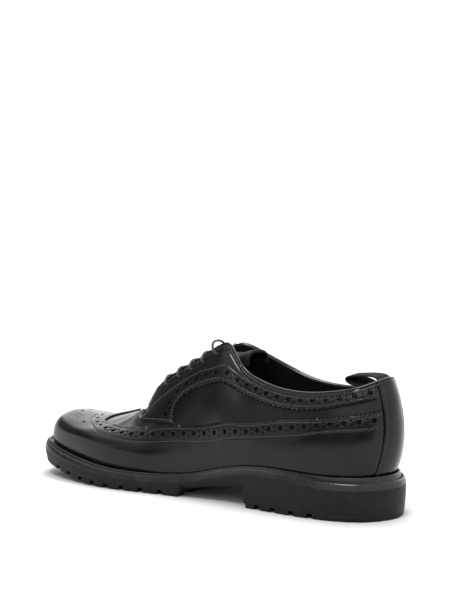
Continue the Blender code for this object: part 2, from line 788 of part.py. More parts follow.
def tongue_arch(x, crown_y, crown_z, medial, lateral, drop):
    """Points across the tongue's free top, from the medial side to the lateral."""
    near = [(x, crown_y + medial * out, crown_z - drop * down) for out, down in TONGUE_ARCH]
    far = [(x, crown_y - lateral * out, crown_z - drop * down) for out, down in TONGUE_ARCH]
    return np.array(near + [(x, crown_y, crown_z)] + far[::-1])


def make_tongue(material, collection):
    """The tongue follows the inside of the facings, and its top arches free of the collar."""
    sections = [tongue_section(s, UPPER_WALL + clear) for s, clear in TONGUE_SECTIONS]
    sections += [tongue_arch(*row) for row in TONGUE_TOP]
    surface = np.array(sections)
    return add_shell("tongue", surface, False, TONGUE_THICKNESS, material, collection)


def add_cord(name, path, diameter, material, collection):
    """A round cord along millimetre points."""
    curve = bpy.data.curves.new(name, "CURVE")
    curve.dimensions = "3D"
    curve.bevel_depth = 0.5 * diameter * MM
    curve.bevel_resolution = 2
    curve.use_fill_caps = True
    spline = curve.splines.new("POLY")
    spline.points.add(len(path) - 1)
    for point, place in zip(spline.points, to_world(path)):
        point.co = (*place, 1.0)
    curve.materials.append(material)
    cord = bpy.data.objects.new(name, curve)
    collection.objects.link(cord)
    return cord


def lace_path(s):
    """One bar: up from the medial eyelet, over the edges of both facings, down to the lateral one."""
    clear = GAP + PANEL_THICKNESS + 0.5 * LACE_DIAMETER + GAP
    v = np.array(LACE_RISE_V)
    lift = clear + np.array(LACE_RISE)
    medial = FORM.lifted(s, v, lift)
    lateral = FORM.lifted(-s, v, lift)
    span = lateral[-1] - medial[-1]
    middle = [medial[-1] + span * k for k in (0.33, 0.67)]
    return np.concatenate([medial, middle, lateral[::-1]])


def make_laces(material, collection):
    for number, s in enumerate(EYELETS, start=1):
        add_cord(f"lace_bar_{number}", lace_path(s), LACE_DIAMETER, material, collection)


def make_pull_tab(material, collection):
    """A ribbon that runs forward from the inside of the heel, folds over and runs back."""
    path = np.array(TAB_PATH)
    y = np.linspace(0.5, -0.5, 3) * TAB_WIDTH
    twist = TAB_TWIST * (path[:, 0] - TAB_TWIST_START) / (TAB_TWIST_END - TAB_TWIST_START)
    surface = np.empty((len(path), len(y), 3))
    surface[:, :, 0] = path[:, None, 0] - twist[:, None] * y[None, :]
    surface[:, :, 1] = y[None, :]
    surface[:, :, 2] = path[:, None, 1]
    return add_shell("pull_tab", surface, False, TAB_THICKNESS, material, collection)


def main():
    for item in list(bpy.data.objects):
        bpy.data.objects.remove(item, do_unlink=True)
    shoe = new_collection("longwing_brogue")
    cutters = new_collection("cutters")
    make_outsole(finish_material("sole_rubber", RUBBER, 0.6), shoe, cutters)
    make_welt(finish_material("welt_edge", RUBBER, 0.35), shoe)
    make_insole(finish_material("insole_sock", LEATHER, 0.6), shoe)
    make_upper(finish_material("vamp_calf", LEATHER, 0.25), shoe)
    make_wing(finish_material("wing_calf", LEATHER, 0.25), shoe)
    make_facing("facing_medial", False, finish_material("facing_calf_medial", LEATHER, 0.25), shoe)
    make_facing("facing_lateral", True, finish_material("facing_calf_lateral", LEATHER, 0.25), shoe)
    make_backstay(finish_material("backstay_calf", LEATHER, 0.25), shoe)
    make_tongue(finish_material("tongue_calf", LEATHER, 0.3), shoe)
    make_laces(finish_material("lace_cotton", LEATHER, 0.5), shoe)
    make_pull_tab(finish_material("tab_webbing", LEATHER, 0.8), shoe)


main()
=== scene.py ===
# %% [markdown]
# A black longwing brogue derby, a right shoe, standing empty on a lugged rubber sole.
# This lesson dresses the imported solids: each piece of leather, rubber and thread is built again
# at full detail from the same last and sole tables that the solids were made from, so that every
# stitch and hole lies exactly where the solid shoe says. Lengths are in millimetres in the maker's
# frame (x forward from the heel back, y to the medial side, z up) until to_world() turns them into metres.

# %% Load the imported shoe
import math

import bpy
import numpy as np
from mathutils import Matrix, Vector
from mathutils.geometry import delaunay_2d_cdt


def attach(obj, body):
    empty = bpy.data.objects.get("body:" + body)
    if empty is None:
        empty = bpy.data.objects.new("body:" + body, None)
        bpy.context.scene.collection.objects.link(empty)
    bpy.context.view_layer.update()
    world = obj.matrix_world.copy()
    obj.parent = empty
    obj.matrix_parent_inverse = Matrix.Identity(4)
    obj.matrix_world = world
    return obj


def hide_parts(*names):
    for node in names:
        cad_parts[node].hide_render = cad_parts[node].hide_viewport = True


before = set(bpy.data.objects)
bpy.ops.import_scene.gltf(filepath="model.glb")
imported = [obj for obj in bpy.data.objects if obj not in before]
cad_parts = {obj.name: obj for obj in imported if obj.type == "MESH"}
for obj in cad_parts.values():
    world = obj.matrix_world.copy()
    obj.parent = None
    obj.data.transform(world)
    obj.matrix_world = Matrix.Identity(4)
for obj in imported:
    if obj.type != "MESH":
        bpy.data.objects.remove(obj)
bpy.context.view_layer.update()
MM = 0.001
print("solids in the frame:", len(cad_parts))

# %% [markdown]
# A shoemaker starts from the last. Two kinds of curve describe it here: a closed spline that runs
# round the shoe, and an open spline through the rows of a table. Splines keep the surface free of
# flats, which polished calf would show at once in its reflections.

# %% Curves through tables


def hermite(k, h, y0, y1, m0, m1):
    """Cubic between two values with their slopes."""
    rest = 1 - k
    start = (1 + 2 * k) * rest * rest * y0 + k * rest * rest * h * m0
    return start + k * k * (3 - 2 * k) * y1 - k * k * rest * h * m1


def closed_curve(knots, values, period):
    """Smooth closed curve through a value at each knot."""
    t = np.asarray(knots, float)
    y = np.asarray(values, float)
    n = len(t)
    h = np.diff(np.append(t, t[0] + period))
    rise = (np.roll(y, -1, axis=0) - y) / h[:, None]
    system = np.zeros((n, n))
    right = np.zeros_like(y)
    for i in range(n):
        system[i, i - 1] += h[i]
        system[i, i] += 2 * (h[i - 1] + h[i])
        system[i, (i + 1) % n] += h[i - 1]
        right[i] = 3 * (h[i] * rise[i - 1] + h[i - 1] * rise[i])
    slope = np.linalg.solve(system, right)

    def curve(u):
        w = np.mod(np.asarray(u, float) - t[0], period) + t[0]
        i = np.clip(np.searchsorted(t, w, side="right") - 1, 0, n - 1)
        j = (i + 1) % n
        k = ((w - t[i]) / h[i])[..., None]
        return hermite(k, h[i][..., None], y[i], y[j], slope[i], slope[j])
    return curve


def table_curve(x, y):
    """Smooth open curve through the values y at the places x."""
    x = np.asarray(x, float)
    y = np.asarray(y, float)
    n = len(x)
    h = np.diff(x)
    rise = np.diff(y) / h
    system = np.zeros((n, n))
    right = np.zeros(n)
    system[0, :2] = (2, 1)
    system[-1, -2:] = (1, 2)
    right[0] = 3 * rise[0]
    right[-1] = 3 * rise[-1]
    for i in range(1, n - 1):
        system[i, i - 1:i + 2] = (h[i], 2 * (h[i - 1] + h[i]), h[i - 1])
        right[i] = 3 * (h[i] * rise[i - 1] + h[i - 1] * rise[i])
    slope = np.linalg.solve(system, right)

    def curve(q):
        q = np.clip(np.asarray(q, float), x[0], x[-1])
        i = np.clip(np.searchsorted(x, q, side="right") - 1, 0, n - 2)
        return hermite((q - x[i]) / h[i], h[i], y[i], y[i + 1], slope[i], slope[i + 1])
    return curve


# %% [markdown]
# The sole's plan is the footprint seen from above. A place on it is u: 0 at the toe tip, 1 at the
# heel back by the medial side, 2 at the toe again by the lateral side. The tables repeat the
# solids' own sizes, because the looks have to sit on the same shoe.

# %% The sole's plan and the welt's height
SOLE_LENGTH = 302.0
TOE_TIP_Y = 5.0
BAND_HEIGHT = 4.4
GAP = 0.3
OUTLINE = (
    # x, medial, lateral
    (9.0, 22.5, 22.5), (26.0, 33.5, 34.0), (52.0, 38.2, 38.8), (92.0, 38.0, 41.5),
    (130.0, 36.8, 45.0), (165.0, 39.6, 49.5), (200.0, 45.4, 53.5), (228.0, 47.6, 53.5),
    (258.0, 44.6, 48.0), (281.0, 38.6, 36.5), (295.0, 29.5, 22.5),
)
WELT_TOP = (
    # x, medial z, lateral z
    (0.0, 25.3, 25.3), (30.0, 25.0, 25.0), (55.0, 26.4, 24.6), (80.0, 28.0, 23.6),
    (102.0, 26.6, 21.6), (124.0, 22.2, 18.8), (146.0, 16.8, 15.9), (170.0, 13.6, 13.9),
    (195.0, 12.9, 13.3), (222.0, 14.1, 14.3), (249.0, 17.4, 17.4), (270.0, 20.6, 20.6),
    (288.0, 23.9, 23.9), (302.0, 26.8, 26.8),
)
REVEAL = (
    # x, inset of the upper's foot, bead height
    (0.0, 9.5, 2.6), (15.0, 8.5, 2.6), (40.0, 6.5, 2.4), (90.0, 4.0, 1.2), (130.0, 4.0, 1.0),
    (170.0, 6.0, 1.0), (210.0, 7.5, 1.0), (302.0, 7.5, 1.2),
)


class SolePlan:
    """The sole's outline from above, by u."""

    def __init__(self):
        medial = [(x, m) for x, m, _ in reversed(OUTLINE)]
        lateral = [(x, -side) for x, _, side in OUTLINE]
        points = np.array([(SOLE_LENGTH, TOE_TIP_Y)] + medial + [(0.0, 0.0)] + lateral)
        chord = np.linalg.norm(np.roll(points, -1, axis=0) - points, axis=1) ** 0.7
        knots = np.append(0.0, np.cumsum(chord))
        self.curve = closed_curve(knots[:-1], points, knots[-1])
        self.t = np.linspace(0.0, knots[-1], 4001)
        path = self.curve(self.t)
        length = np.append(0.0, np.cumsum(np.linalg.norm(np.diff(path, axis=0), axis=1)))
        heel = np.interp(knots[1 + len(medial)], self.t, length)
        self.u = np.where(length <= heel, length / heel, 1 + (length - heel) / (length[-1] - heel))
        self.path = path

    def point(self, u):
        return self.curve(np.interp(np.mod(u, 2.0), self.u, self.t))

    def normal(self, u, step=0.001):
        along = self.point(np.asarray(u) + step) - self.point(np.asarray(u) - step)
        out = np.stack([along[..., 1], -along[..., 0]], axis=-1)
        return out / np.linalg.norm(out, axis=-1, keepdims=True)

    def u_at(self, x, lateral=False):
        """u of the outline's point at x, on one side."""
        side = (self.u >= 1) if lateral else (self.u <= 1)
        order = np.argsort(self.path[side, 0])
        return np.interp(x, self.path[side, 0][order], self.u[side][order])


def columns(rows):
    return [list(column) for column in zip(*rows)]


PLAN = SolePlan()
welt_x, welt_medial, welt_lateral = columns(WELT_TOP)
WELT_MEDIAL = table_curve(welt_x, welt_medial)
WELT_LATERAL = table_curve(welt_x, welt_lateral)
reveal_x, reveal_inset, reveal_bead = columns(REVEAL)
REVEAL_AT = table_curve(reveal_x, reveal_inset)
BEAD_AT = table_curve(reveal_x, reveal_bead)
CENTRE = np.array([*(0.5 * (PLAN.path.min(axis=0) + PLAN.path.max(axis=0))), 0.0])


def welt_height(u):
    """Height of the welt's top edge at u."""
    x = PLAN.point(u)[..., 0]
    return np.where(np.mod(u, 2.0) <= 1.0, WELT_MEDIAL(x), WELT_LATERAL(x))


def reveal(u):
    return REVEAL_AT(PLAN.point(u)[..., 0])


def bead_height(u):
    return BEAD_AT(PLAN.point(u)[..., 0])


def plan_inset(u, inset):
    """Points of the outline moved in by inset."""
    return PLAN.point(u) - PLAN.normal(u) * np.broadcast_to(inset, np.shape(u))[..., None]


def to_world(points):
    """Millimetres in the maker's frame to metres about the sole's middle."""
    return (np.asarray(points) - CENTRE) * MM


print("middle of the sole in the maker's frame:", CENTRE.round(2))

# %% [markdown]
# The upper over the last is a stack of sections from welt to opening. Each row of the tables gives
# one section: its point on the opening's edge, and three handles that steer a curve of the fourth
# degree between welt and edge. v is the place along a section, 0 at the welt and 1 at the edge.

# %% The last's sections
MEDIAL_SECTIONS = (
    # s, edge x, edge y, edge z, low out, low up, mid out, mid up, high out, high down
    (0.00, 215.5, 4.5, 53.3, 1.5, 37.0, -2.5, -20.5, 30.5, 7.8),
    (0.10, 215.2, 6.5, 53.5, 2.0, 29.0, -1.5, -14.0, 27.5, 12.0),
    (0.20, 214.0, 9.0, 54.0, 5.5, 26.5, 0.5, -7.5, 24.0, 13.5),
    (0.29, 209.0, 11.0, 56.5, 8.5, 24.5, 1.5, -2.0, 18.0, 16.5),
    (0.36, 200.0, 12.0, 66.5, 9.5, 23.5, 0.5, 0.0, 11.5, 20.5),
    (0.42, 186.0, 12.0, 78.3, 7.5, 22.5, -2.5, -0.5, 10.0, 18.5),
    (0.49, 165.0, 12.0, 90.2, 6.0, 24.0, -3.0, 1.0, 11.5, 16.5),
    (0.55, 147.0, 12.0, 100.3, 4.5, 24.0, -2.0, 1.5, 11.0, 17.5),
    (0.58, 137.5, 12.0, 105.7, 4.5, 24.0, -1.5, 1.5, 11.0, 19.0),
    (0.60, 131.0, 12.3, 107.5, 4.5, 24.0, -1.0, 1.0, 11.0, 20.0),
    (0.62, 126.4, 13.2, 104.8, 4.0, 23.5, -1.0, 1.0, 10.5, 19.5),
    (0.66, 115.5, 16.0, 93.5, 4.0, 22.0, -0.5, 0.5, 9.0, 17.5),
    (0.71, 101.0, 20.5, 86.5, 3.0, 20.0, 0.0, 0.0, 8.0, 15.5),
    (0.77, 81.0, 24.0, 81.8, 3.0, 19.0, 0.0, 0.0, 7.0, 14.0),
    (0.83, 58.0, 25.5, 80.2, 4.0, 18.0, 1.0, 0.0, 6.5, 13.0),
    (0.89, 35.0, 24.5, 82.4, 6.0, 16.0, 1.5, 0.0, 6.0, 12.0),
    (0.94, 19.0, 18.5, 86.0, 7.5, 15.0, 2.0, 0.0, 6.0, 12.0),
    (0.975, 11.6, 9.5, 89.6, 8.5, 16.0, 2.0, 0.0, 5.5, 12.0),
)
HEEL_SECTION = (1.00, 8.8, 0.0, 91.2, 9.0, 16.0, 2.0, 0.0, 5.2, 12.0)
LATERAL_SECTIONS = (
    # s, edge x, edge y, edge z, low out, low up, mid out, mid up, high out, high down
    (0.10, 215.2, 2.5, 53.4, 3.5, 29.0, -1.5, -14.4, 27.5, 12.2),
    (0.20, 214.0, 0.0, 53.8, 7.5, 25.5, 0.5, -8.0, 25.5, 12.6),
    (0.29, 209.0, -2.0, 56.0, 9.5, 24.0, 1.5, -2.0, 20.5, 15.5),
    (0.36, 200.0, -3.2, 65.5, 10.5, 23.5, 0.5, 0.0, 15.5, 19.5),
    (0.42, 186.0, -4.0, 77.0, 8.5, 22.5, -2.5, -0.5, 15.0, 18.0),
    (0.49, 165.0, -5.0, 89.0, 7.0, 24.0, -3.0, 1.0, 15.5, 16.5),
    (0.55, 148.0, -6.0, 98.6, 5.5, 24.0, -2.0, 1.5, 14.0, 17.5),
    (0.58, 139.5, -6.7, 103.6, 5.5, 24.0, -1.5, 1.5, 13.5, 19.0),
    (0.60, 133.5, -7.6, 105.6, 5.5, 24.0, -1.0, 1.0, 13.0, 20.0),
    (0.62, 128.4, -9.6, 104.6, 5.5, 23.5, -1.0, 1.0, 11.5, 19.5),
    (0.66, 117.0, -14.5, 98.5, 5.0, 22.0, -0.5, 0.5, 9.5, 18.5),
    (0.71, 101.5, -20.5, 90.0, 4.0, 20.0, 0.0, 0.0, 8.0, 16.5),
    (0.77, 82.0, -24.5, 82.2, 4.0, 19.0, 0.0, 0.0, 7.0, 14.0),
    (0.83, 58.0, -26.0, 79.2, 4.0, 18.0, 1.0, 0.0, 6.5, 13.0),
    (0.89, 35.5, -24.5, 81.0, 6.0, 16.0, 1.5, 0.0, 6.0, 12.0),
    (0.94, 19.5, -18.5, 85.2, 7.5, 15.0, 2.0, 0.0, 6.0, 12.0),
    (0.975, 11.8, -9.5, 89.4, 8.5, 16.0, 2.0, 0.0, 5.5, 12.0),
)


class LastForm:
    """The upper's outer surface over the last."""

    def __init__(self):
        mirrored = [(2 - row[0],) + row[1:] for row in reversed(LATERAL_SECTIONS)]
        rows = np.array(list(MEDIAL_SECTIONS) + [HEEL_SECTION] + mirrored)
        self.columns = closed_curve(rows[:, 0], rows[:, 1:], 2.0)

    def point(self, u, v):
        u, v = np.broadcast_arrays(np.asarray(u, float), np.asarray(v, float))
        column = self.columns(u)
        foot = np.concatenate([plan_inset(u, reveal(u)), (welt_height(u) + GAP)[..., None]], axis=-1)
        out = np.concatenate([PLAN.normal(u), np.zeros(u.shape + (1,))], axis=-1)
        up = np.array([0.0, 0.0, 1.0])
        edge = column[..., 0:3]
        low = foot + out * column[..., 3:4] + up * column[..., 4:5]
        high = edge + out * column[..., 7:8] - up * column[..., 8:9]
        mid = 0.5 * (low + high) + out * column[..., 5:6] + up * column[..., 6:7]
        v = v[..., None]
        w = 1 - v
        ends = w ** 4 * foot + v ** 4 * edge
        return ends + 4 * w ** 3 * v * low + 6 * w * w * v * v * mid + 4 * w * v ** 3 * high

    def normal(self, u, v, step=0.002):
        along = self.point(u + step, v) - self.point(u - step, v)
        rise = self.point(u, v + step) - self.point(u, v - step)
        out = np.cross(along, rise)
        return out / np.linalg.norm(out, axis=-1, keepdims=True)

    def lifted(self, u, v, lift):
        """The surface moved out along its normal."""
        u, v = np.broadcast_arrays(np.asarray(u, float), np.asarray(v, float))
        return self.point(u, v) + self.normal(u, v) * np.broadcast_to(lift, u.shape)[..., None]


FORM = LastForm()
print("toe of the last:", FORM.point(0.0, 0.3).round(1))

# %% [markdown]
# The camera comes early, since every later choice is judged through it. The photograph was taken
# from behind the medial side and a little above. Yaw, pitch and distance place the lens about a
# point inside the shoe, and a small pan and tilt centre the shoe in the upright frame.

# %% The camera
IMAGE_LONG_SIDE = 600.0
FOCAL_PIXELS = 1323.34
CAMERA_TARGET = np.array([150.0, 0.0, 50.0])
CAMERA_YAW = math.radians(38.0)
CAMERA_PITCH = math.radians(9.09)
CAMERA_ROLL = math.radians(-0.17)
CAMERA_DISTANCE = 953.11
AIM_PIXEL = (217.45, 420.62)
IMAGE_MIDDLE = (225.0, 300.0)
SENSOR = 36.0


def place_camera():
    back = np.array([-math.sin(CAMERA_YAW) * math.cos(CAMERA_PITCH),
                     math.cos(CAMERA_YAW) * math.cos(CAMERA_PITCH), math.sin(CAMERA_PITCH)])
    eye = CAMERA_TARGET + CAMERA_DISTANCE * back
    pan = CAMERA_YAW + math.atan((AIM_PIXEL[0] - IMAGE_MIDDLE[0]) / FOCAL_PIXELS)
    tilt = CAMERA_PITCH - math.atan((AIM_PIXEL[1] - IMAGE_MIDDLE[1]) / FOCAL_PIXELS)
    look = Vector((math.sin(pan) * math.cos(tilt), -math.cos(pan) * math.cos(tilt), -math.sin(tilt)))
    lens = bpy.data.cameras.new("photo_camera")
    lens.sensor_width = SENSOR
    lens.lens = FOCAL_PIXELS * SENSOR / IMAGE_LONG_SIDE
    lens.clip_start = 0.01
    camera = bpy.data.objects.new("photo_camera", lens)
    bpy.context.scene.collection.objects.link(camera)
    turn = look.to_track_quat("-Z", "Y").to_matrix() @ Matrix.Rotation(CAMERA_ROLL, 3, "Z")
    camera.matrix_world = Matrix.Translation(Vector(to_world(eye))) @ turn.to_4x4()
    bpy.context.scene.camera = camera
    return camera


CAMERA = place_camera()
print("lens in mm:", round(CAMERA.data.lens, 1))

# %% [markdown]
# Every piece ends the same way: its points become a mesh, it rides on the shoe's one body, it hides
# the solids it stands for, and it wears its finish. One helper does this, so that a piece below is
# only its shape and its finish.

# %% Helpers that make a piece
SHARP_ANGLE = math.radians(50.0)


def add_piece(name, points, faces, finish, stands_for=(), sharp=SHARP_ANGLE):
    """A mesh piece from millimetre points, riding on the shoe."""
    mesh = bpy.data.meshes.new(name)
    mesh.from_pydata(to_world(points).tolist(), [], [tuple(map(int, face)) for face in faces])
    mesh.validate()
    mesh.materials.append(finish)
    mesh.shade_smooth()
    mesh.set_sharp_from_angle(angle=sharp)
    piece = bpy.data.objects.new(name, mesh)
    bpy.context.scene.collection.objects.link(piece)
    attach(piece, "root")
    if stands_for:
        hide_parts(*stands_for)
    return piece


def grid_faces(column_count, row_count, closed_columns=False, closed_rows=False):
    """Quads of a grid numbered column by column."""
    faces = []
    for i in range(column_count if closed_columns else column_count - 1):
        for j in range(row_count if closed_rows else row_count - 1):
            a = i * row_count + j
            b = ((i + 1) % column_count) * row_count + j
            up = 1 if j + 1 < row_count else 1 - row_count
            faces.append((a, b, b + up, a + up))
    return faces


def tube(path, across, upward, sides, half_width, half_height):
    """Points and faces of a capped tube: an oval held by two directions at each place of a path."""
    turn = np.linspace(0.0, 2 * math.pi, sides, endpoint=False)
    ring = (np.cos(turn)[None, :, None] * across[:, None, :] * np.reshape(half_width, (-1, 1, 1))
            + np.sin(turn)[None, :, None] * upward[:, None, :] * np.reshape(half_height, (-1, 1, 1)))
    points = (path[:, None, :] + ring).reshape(-1, 3)
    faces = grid_faces(len(path), sides, closed_rows=True)
    faces.append(tuple(range(sides)))
    last = (len(path) - 1) * sides
    faces.append(tuple(last + k for k in reversed(range(sides))))
    return points, faces


def unit(vectors):
    return vectors / np.linalg.norm(vectors, axis=-1, keepdims=True)


# %% [markdown]
# Polished calf is nearly black pigment under a thin wax. The colour is dark and almost even, so the
# eye reads it by its gloss: a fine pebbled grain breaks the reflection a little, patches of thicker
# wax change the roughness, and a clear coat gives the sharp highlight on the toe. Noise and Voronoi
# nodes in the object's own coordinates give grain of a true size from every side.

# %% The finish of polished calf
CALF_COLOUR = (0.004, 0.004, 0.0042, 1.0)
CALF_WORN = (0.007, 0.007, 0.0072, 1.0)
CALF_SHINE = 0.23
GRAIN_PER_METRE = 950.0
WAX_PATCH_PER_METRE = 45.0
NOISE_LOW = 0.3
NOISE_HIGH = 0.7


def start_finish(name):
    """A new material with its node tree, its shader and the place on the object."""
    material = bpy.data.materials.new(name)
    material.use_nodes = True
    tree = material.node_tree
    shader = tree.nodes["Principled BSDF"]
    place = tree.nodes.new("ShaderNodeTexCoord")
    return material, tree, shader, place.outputs["Object"]


def ramp_between(tree, source, low, high, start=0.35, end=0.65):
    """A value turned into a colour between two others."""
    ramp = tree.nodes.new("ShaderNodeValToRGB")
    ramp.color_ramp.elements[0].position = start
    ramp.color_ramp.elements[0].color = low
    ramp.color_ramp.elements[1].position = end
    ramp.color_ramp.elements[1].color = high
    tree.links.new(source, ramp.inputs["Fac"])
    return ramp.outputs["Color"]


def range_between(tree, source, low, high):
    """A noise value turned into a number between two others."""
    span = tree.nodes.new("ShaderNodeMapRange")
    span.inputs["From Min"].default_value = NOISE_LOW
    span.inputs["From Max"].default_value = NOISE_HIGH
    span.inputs["To Min"].default_value = low
    span.inputs["To Max"].default_value = high
    tree.links.new(source, span.inputs["Value"])
    return span.outputs["Result"]


def bump_from(tree, shader, height, strength, distance):
    """Fine relief on a shader, its depth in millimetres."""
    bump = tree.nodes.new("ShaderNodeBump")
    bump.inputs["Strength"].default_value = strength
    bump.inputs["Distance"].default_value = distance * MM
    tree.links.new(height, bump.inputs["Height"])
    tree.links.new(bump.outputs["Normal"], shader.inputs["Normal"])


def noise_of(tree, place, per_metre, detail=4.0):
    noise = tree.nodes.new("ShaderNodeTexNoise")
    noise.inputs["Scale"].default_value = per_metre
    noise.inputs["Detail"].default_value = detail
    tree.links.new(place, noise.inputs["Vector"])
    return noise.outputs["Fac"]


def multiplied(tree, first, second):
    """The product of two values."""
    product = tree.nodes.new("ShaderNodeMath")
    product.operation = "MULTIPLY"
    tree.links.new(first, product.inputs[0])
    tree.links.new(second, product.inputs[1])
    return product.outputs["Value"]


def polished_calf(name, smooth, dull, grain, coat):
    """smooth and dull bound the roughness, grain is the bump's strength, coat the wax's weight."""
    material, tree, shader, place = start_finish(name)
    patches = noise_of(tree, place, WAX_PATCH_PER_METRE)
    tree.links.new(ramp_between(tree, patches, CALF_COLOUR, CALF_WORN), shader.inputs["Base Color"])
    tree.links.new(range_between(tree, patches, smooth, dull), shader.inputs["Roughness"])
    cells = tree.nodes.new("ShaderNodeTexVoronoi")
    cells.inputs["Scale"].default_value = GRAIN_PER_METRE
    tree.links.new(place, cells.inputs["Vector"])
    bump_from(tree, shader, cells.outputs["Distance"], grain, 0.12)
    shader.inputs["Specular IOR Level"].default_value = CALF_SHINE
    shader.inputs["Coat Weight"].default_value = coat
    shader.inputs["Coat Roughness"].default_value = 0.1
    return material


VAMP_FINISH = polished_calf("vamp_polish", 0.16, 0.22, 0.05, 0.06)
WING_FINISH = polished_calf("wing_polish", 0.16, 0.22, 0.05, 0.06)
FACING_FINISH = polished_calf("facing_polish", 0.17, 0.23, 0.06, 0.06)
BACK_FINISH = polished_calf("back_strip_polish", 0.17, 0.22, 0.05, 0.06)
print("calf finishes:", VAMP_FINISH.name, WING_FINISH.name, FACING_FINISH.name, BACK_FINISH.name)

# %% [markdown]
# Inside the shoe the leather is the flesh side: matt, darker and without wax. It needs no coat,
# only a soft fibrous bump. The same matt finish is laid under the panels, at the bottom of every
# punched hole and under the pinked edges as painted shade, so that they look dark. The dyed cut
# edges of the facings and the soft tongue have the same nap, with less or more shine.

# %% The finish of linings, cut edges and the bare flesh side
FLESH_COLOUR = (0.004, 0.004, 0.004, 1.0)
FLESH_LIGHT = (0.009, 0.009, 0.009, 1.0)
FIBRES_PER_METRE = 1600.0


def flesh_side(name, rough, shine):
    material, tree, shader, place = start_finish(name)
    fibres = noise_of(tree, place, FIBRES_PER_METRE, 6.0)
    tree.links.new(ramp_between(tree, fibres, FLESH_COLOUR, FLESH_LIGHT), shader.inputs["Base Color"])
    bump_from(tree, shader, fibres, 0.25, 0.1)
    shader.inputs["Roughness"].default_value = rough
    shader.inputs["Specular IOR Level"].default_value = shine
    return material


LINING_FINISH = flesh_side("lining_leather", 0.75, 0.2)
# Painted shade: this matt finish lines the upper under the panels, the discs under the punched holes and the
# strips under the pinked edges, so that holes and notches look dark.
HOLE_SHADE_FINISH = flesh_side("matt_hole_shade", 0.9, 0.1)
CUT_EDGE_FINISH = flesh_side("dyed_cut_edge", 0.9, 0.03)
TONGUE_FINISH = flesh_side("tongue_leather", 0.6, 0.1)
print("flesh side finishes:", LINING_FINISH.name, HOLE_SHADE_FINISH.name,
      CUT_EDGE_FINISH.name, TONGUE_FINISH.name)

# %% [markdown]
# The upper is the vamp and quarters closed over the last. It could be a surface with a Solidify
# modifier, but the collar shows its edge, so each column of the grid runs up the outside, round the
# edge and down the lining in one go. The opening dips in front of the facings, where the vamp dives
# under the tongue. Leather that a panel will cover is given a matt dark finish as painted shade, so
# that a punched hole looks into the dark.

# %% The vamp and quarters
UPPER_WALL = 2.0
PANEL_THICKNESS = 1.1
PANEL_LIFT = GAP + PANEL_THICKNESS
FACING_FRONT = 0.357
VAMP_DIP_START = 0.24
VAMP_DIP_END = 0.345
VAMP_DIP_DEPTH = 0.19
CORNER_END = 0.4
CORNER_DEPTH = 0.1
CORNER_POWER = 3
WALL_COLUMNS = 360
OUTER_ROWS = 48
LINING_ROWS = 20
EDGE_STEPS = 4
RISE_STEP = 0.01


def side_share(u):
    """s of a place: 0 at the toe and 1 at the heel back, on either side."""
    w = np.mod(u, 2.0)
    return np.where(w <= 1.0, w, 2.0 - w)


def opening_edge(s):
    """v of the opening's edge: low over the tongue, then up the facing's rounded front corner."""
    ramp = np.clip((s - VAMP_DIP_START) / (VAMP_DIP_END - VAMP_DIP_START), 0.0, 1.0)
    low = 1.0 - VAMP_DIP_DEPTH * ramp * ramp * (3 - 2 * ramp)
    left = np.clip((CORNER_END - s) / (CORNER_END - FACING_FRONT), 0.0, 1.0)
    high = 1.0 - CORNER_DEPTH * left ** CORNER_POWER
    climb = np.clip((s - VAMP_DIP_END) / (FACING_FRONT - VAMP_DIP_END), 0.0, 1.0)
    return low + (high - low) * climb


def make_upper():
    front = (VAMP_DIP_END, FACING_FRONT, 2 - FACING_FRONT, 2 - VAMP_DIP_END)
    u = np.unique(np.append(np.linspace(0.0, 2.0, WALL_COLUMNS, endpoint=False), front))
    top = opening_edge(side_share(u))[:, None]
    outer = np.linspace(0.0, 1.0, OUTER_ROWS)
    edge = np.linspace(0.0, math.pi, EDGE_STEPS + 2)[1:-1]
    lining = np.linspace(1.0, 0.0, LINING_ROWS)
    v = np.concatenate([top * outer, np.repeat(top, EDGE_STEPS, axis=1), top * lining], axis=1)
    lift = np.concatenate([0.0 * outer, -0.5 * UPPER_WALL * (1 - np.cos(edge)), 0.0 * lining - UPPER_WALL])
    bulge = np.concatenate([0.0 * outer, 0.5 * UPPER_WALL * np.sin(edge), 0.0 * lining])
    columns_u = np.broadcast_to(u[:, None], v.shape)
    points = FORM.lifted(columns_u, v, lift)
    rise = unit(FORM.point(columns_u, v) - FORM.point(columns_u, v - RISE_STEP))
    points = points + rise * bulge[None, :, None]
    rows = v.shape[1]
    faces = grid_faces(len(u), rows, closed_columns=True)
    piece = add_piece("vamp_and_quarters", points.reshape(-1, 3), faces, VAMP_FINISH, ("upper",))
    piece.data.materials.append(LINING_FINISH)
    # The third slot is the matt finish laid under the panels as painted shade.
    piece.data.materials.append(HOLE_SHADE_FINISH)
    return piece, u, v, rows


UPPER, UPPER_U, UPPER_V, UPPER_ROW_COUNT = make_upper()
print("vamp and quarters:", len(UPPER.data.polygons), "faces")

# %% [markdown]
# Panels are cut flat from a hide and then drawn over the last, so they are made the same way here.
# A flat pattern spreads the surface out: each row of the last is laid straight at its true length.
# Outlines, punched holes and stitch lines are drawn on the pattern in millimetres, and a lookup
# carries them back to (u, v) and so on to the shoe.

# %% The flat pattern
PATTERN_HEIGHT = 80.0
SEARCH_STEPS = 34
STRETCH_STEP = 0.4


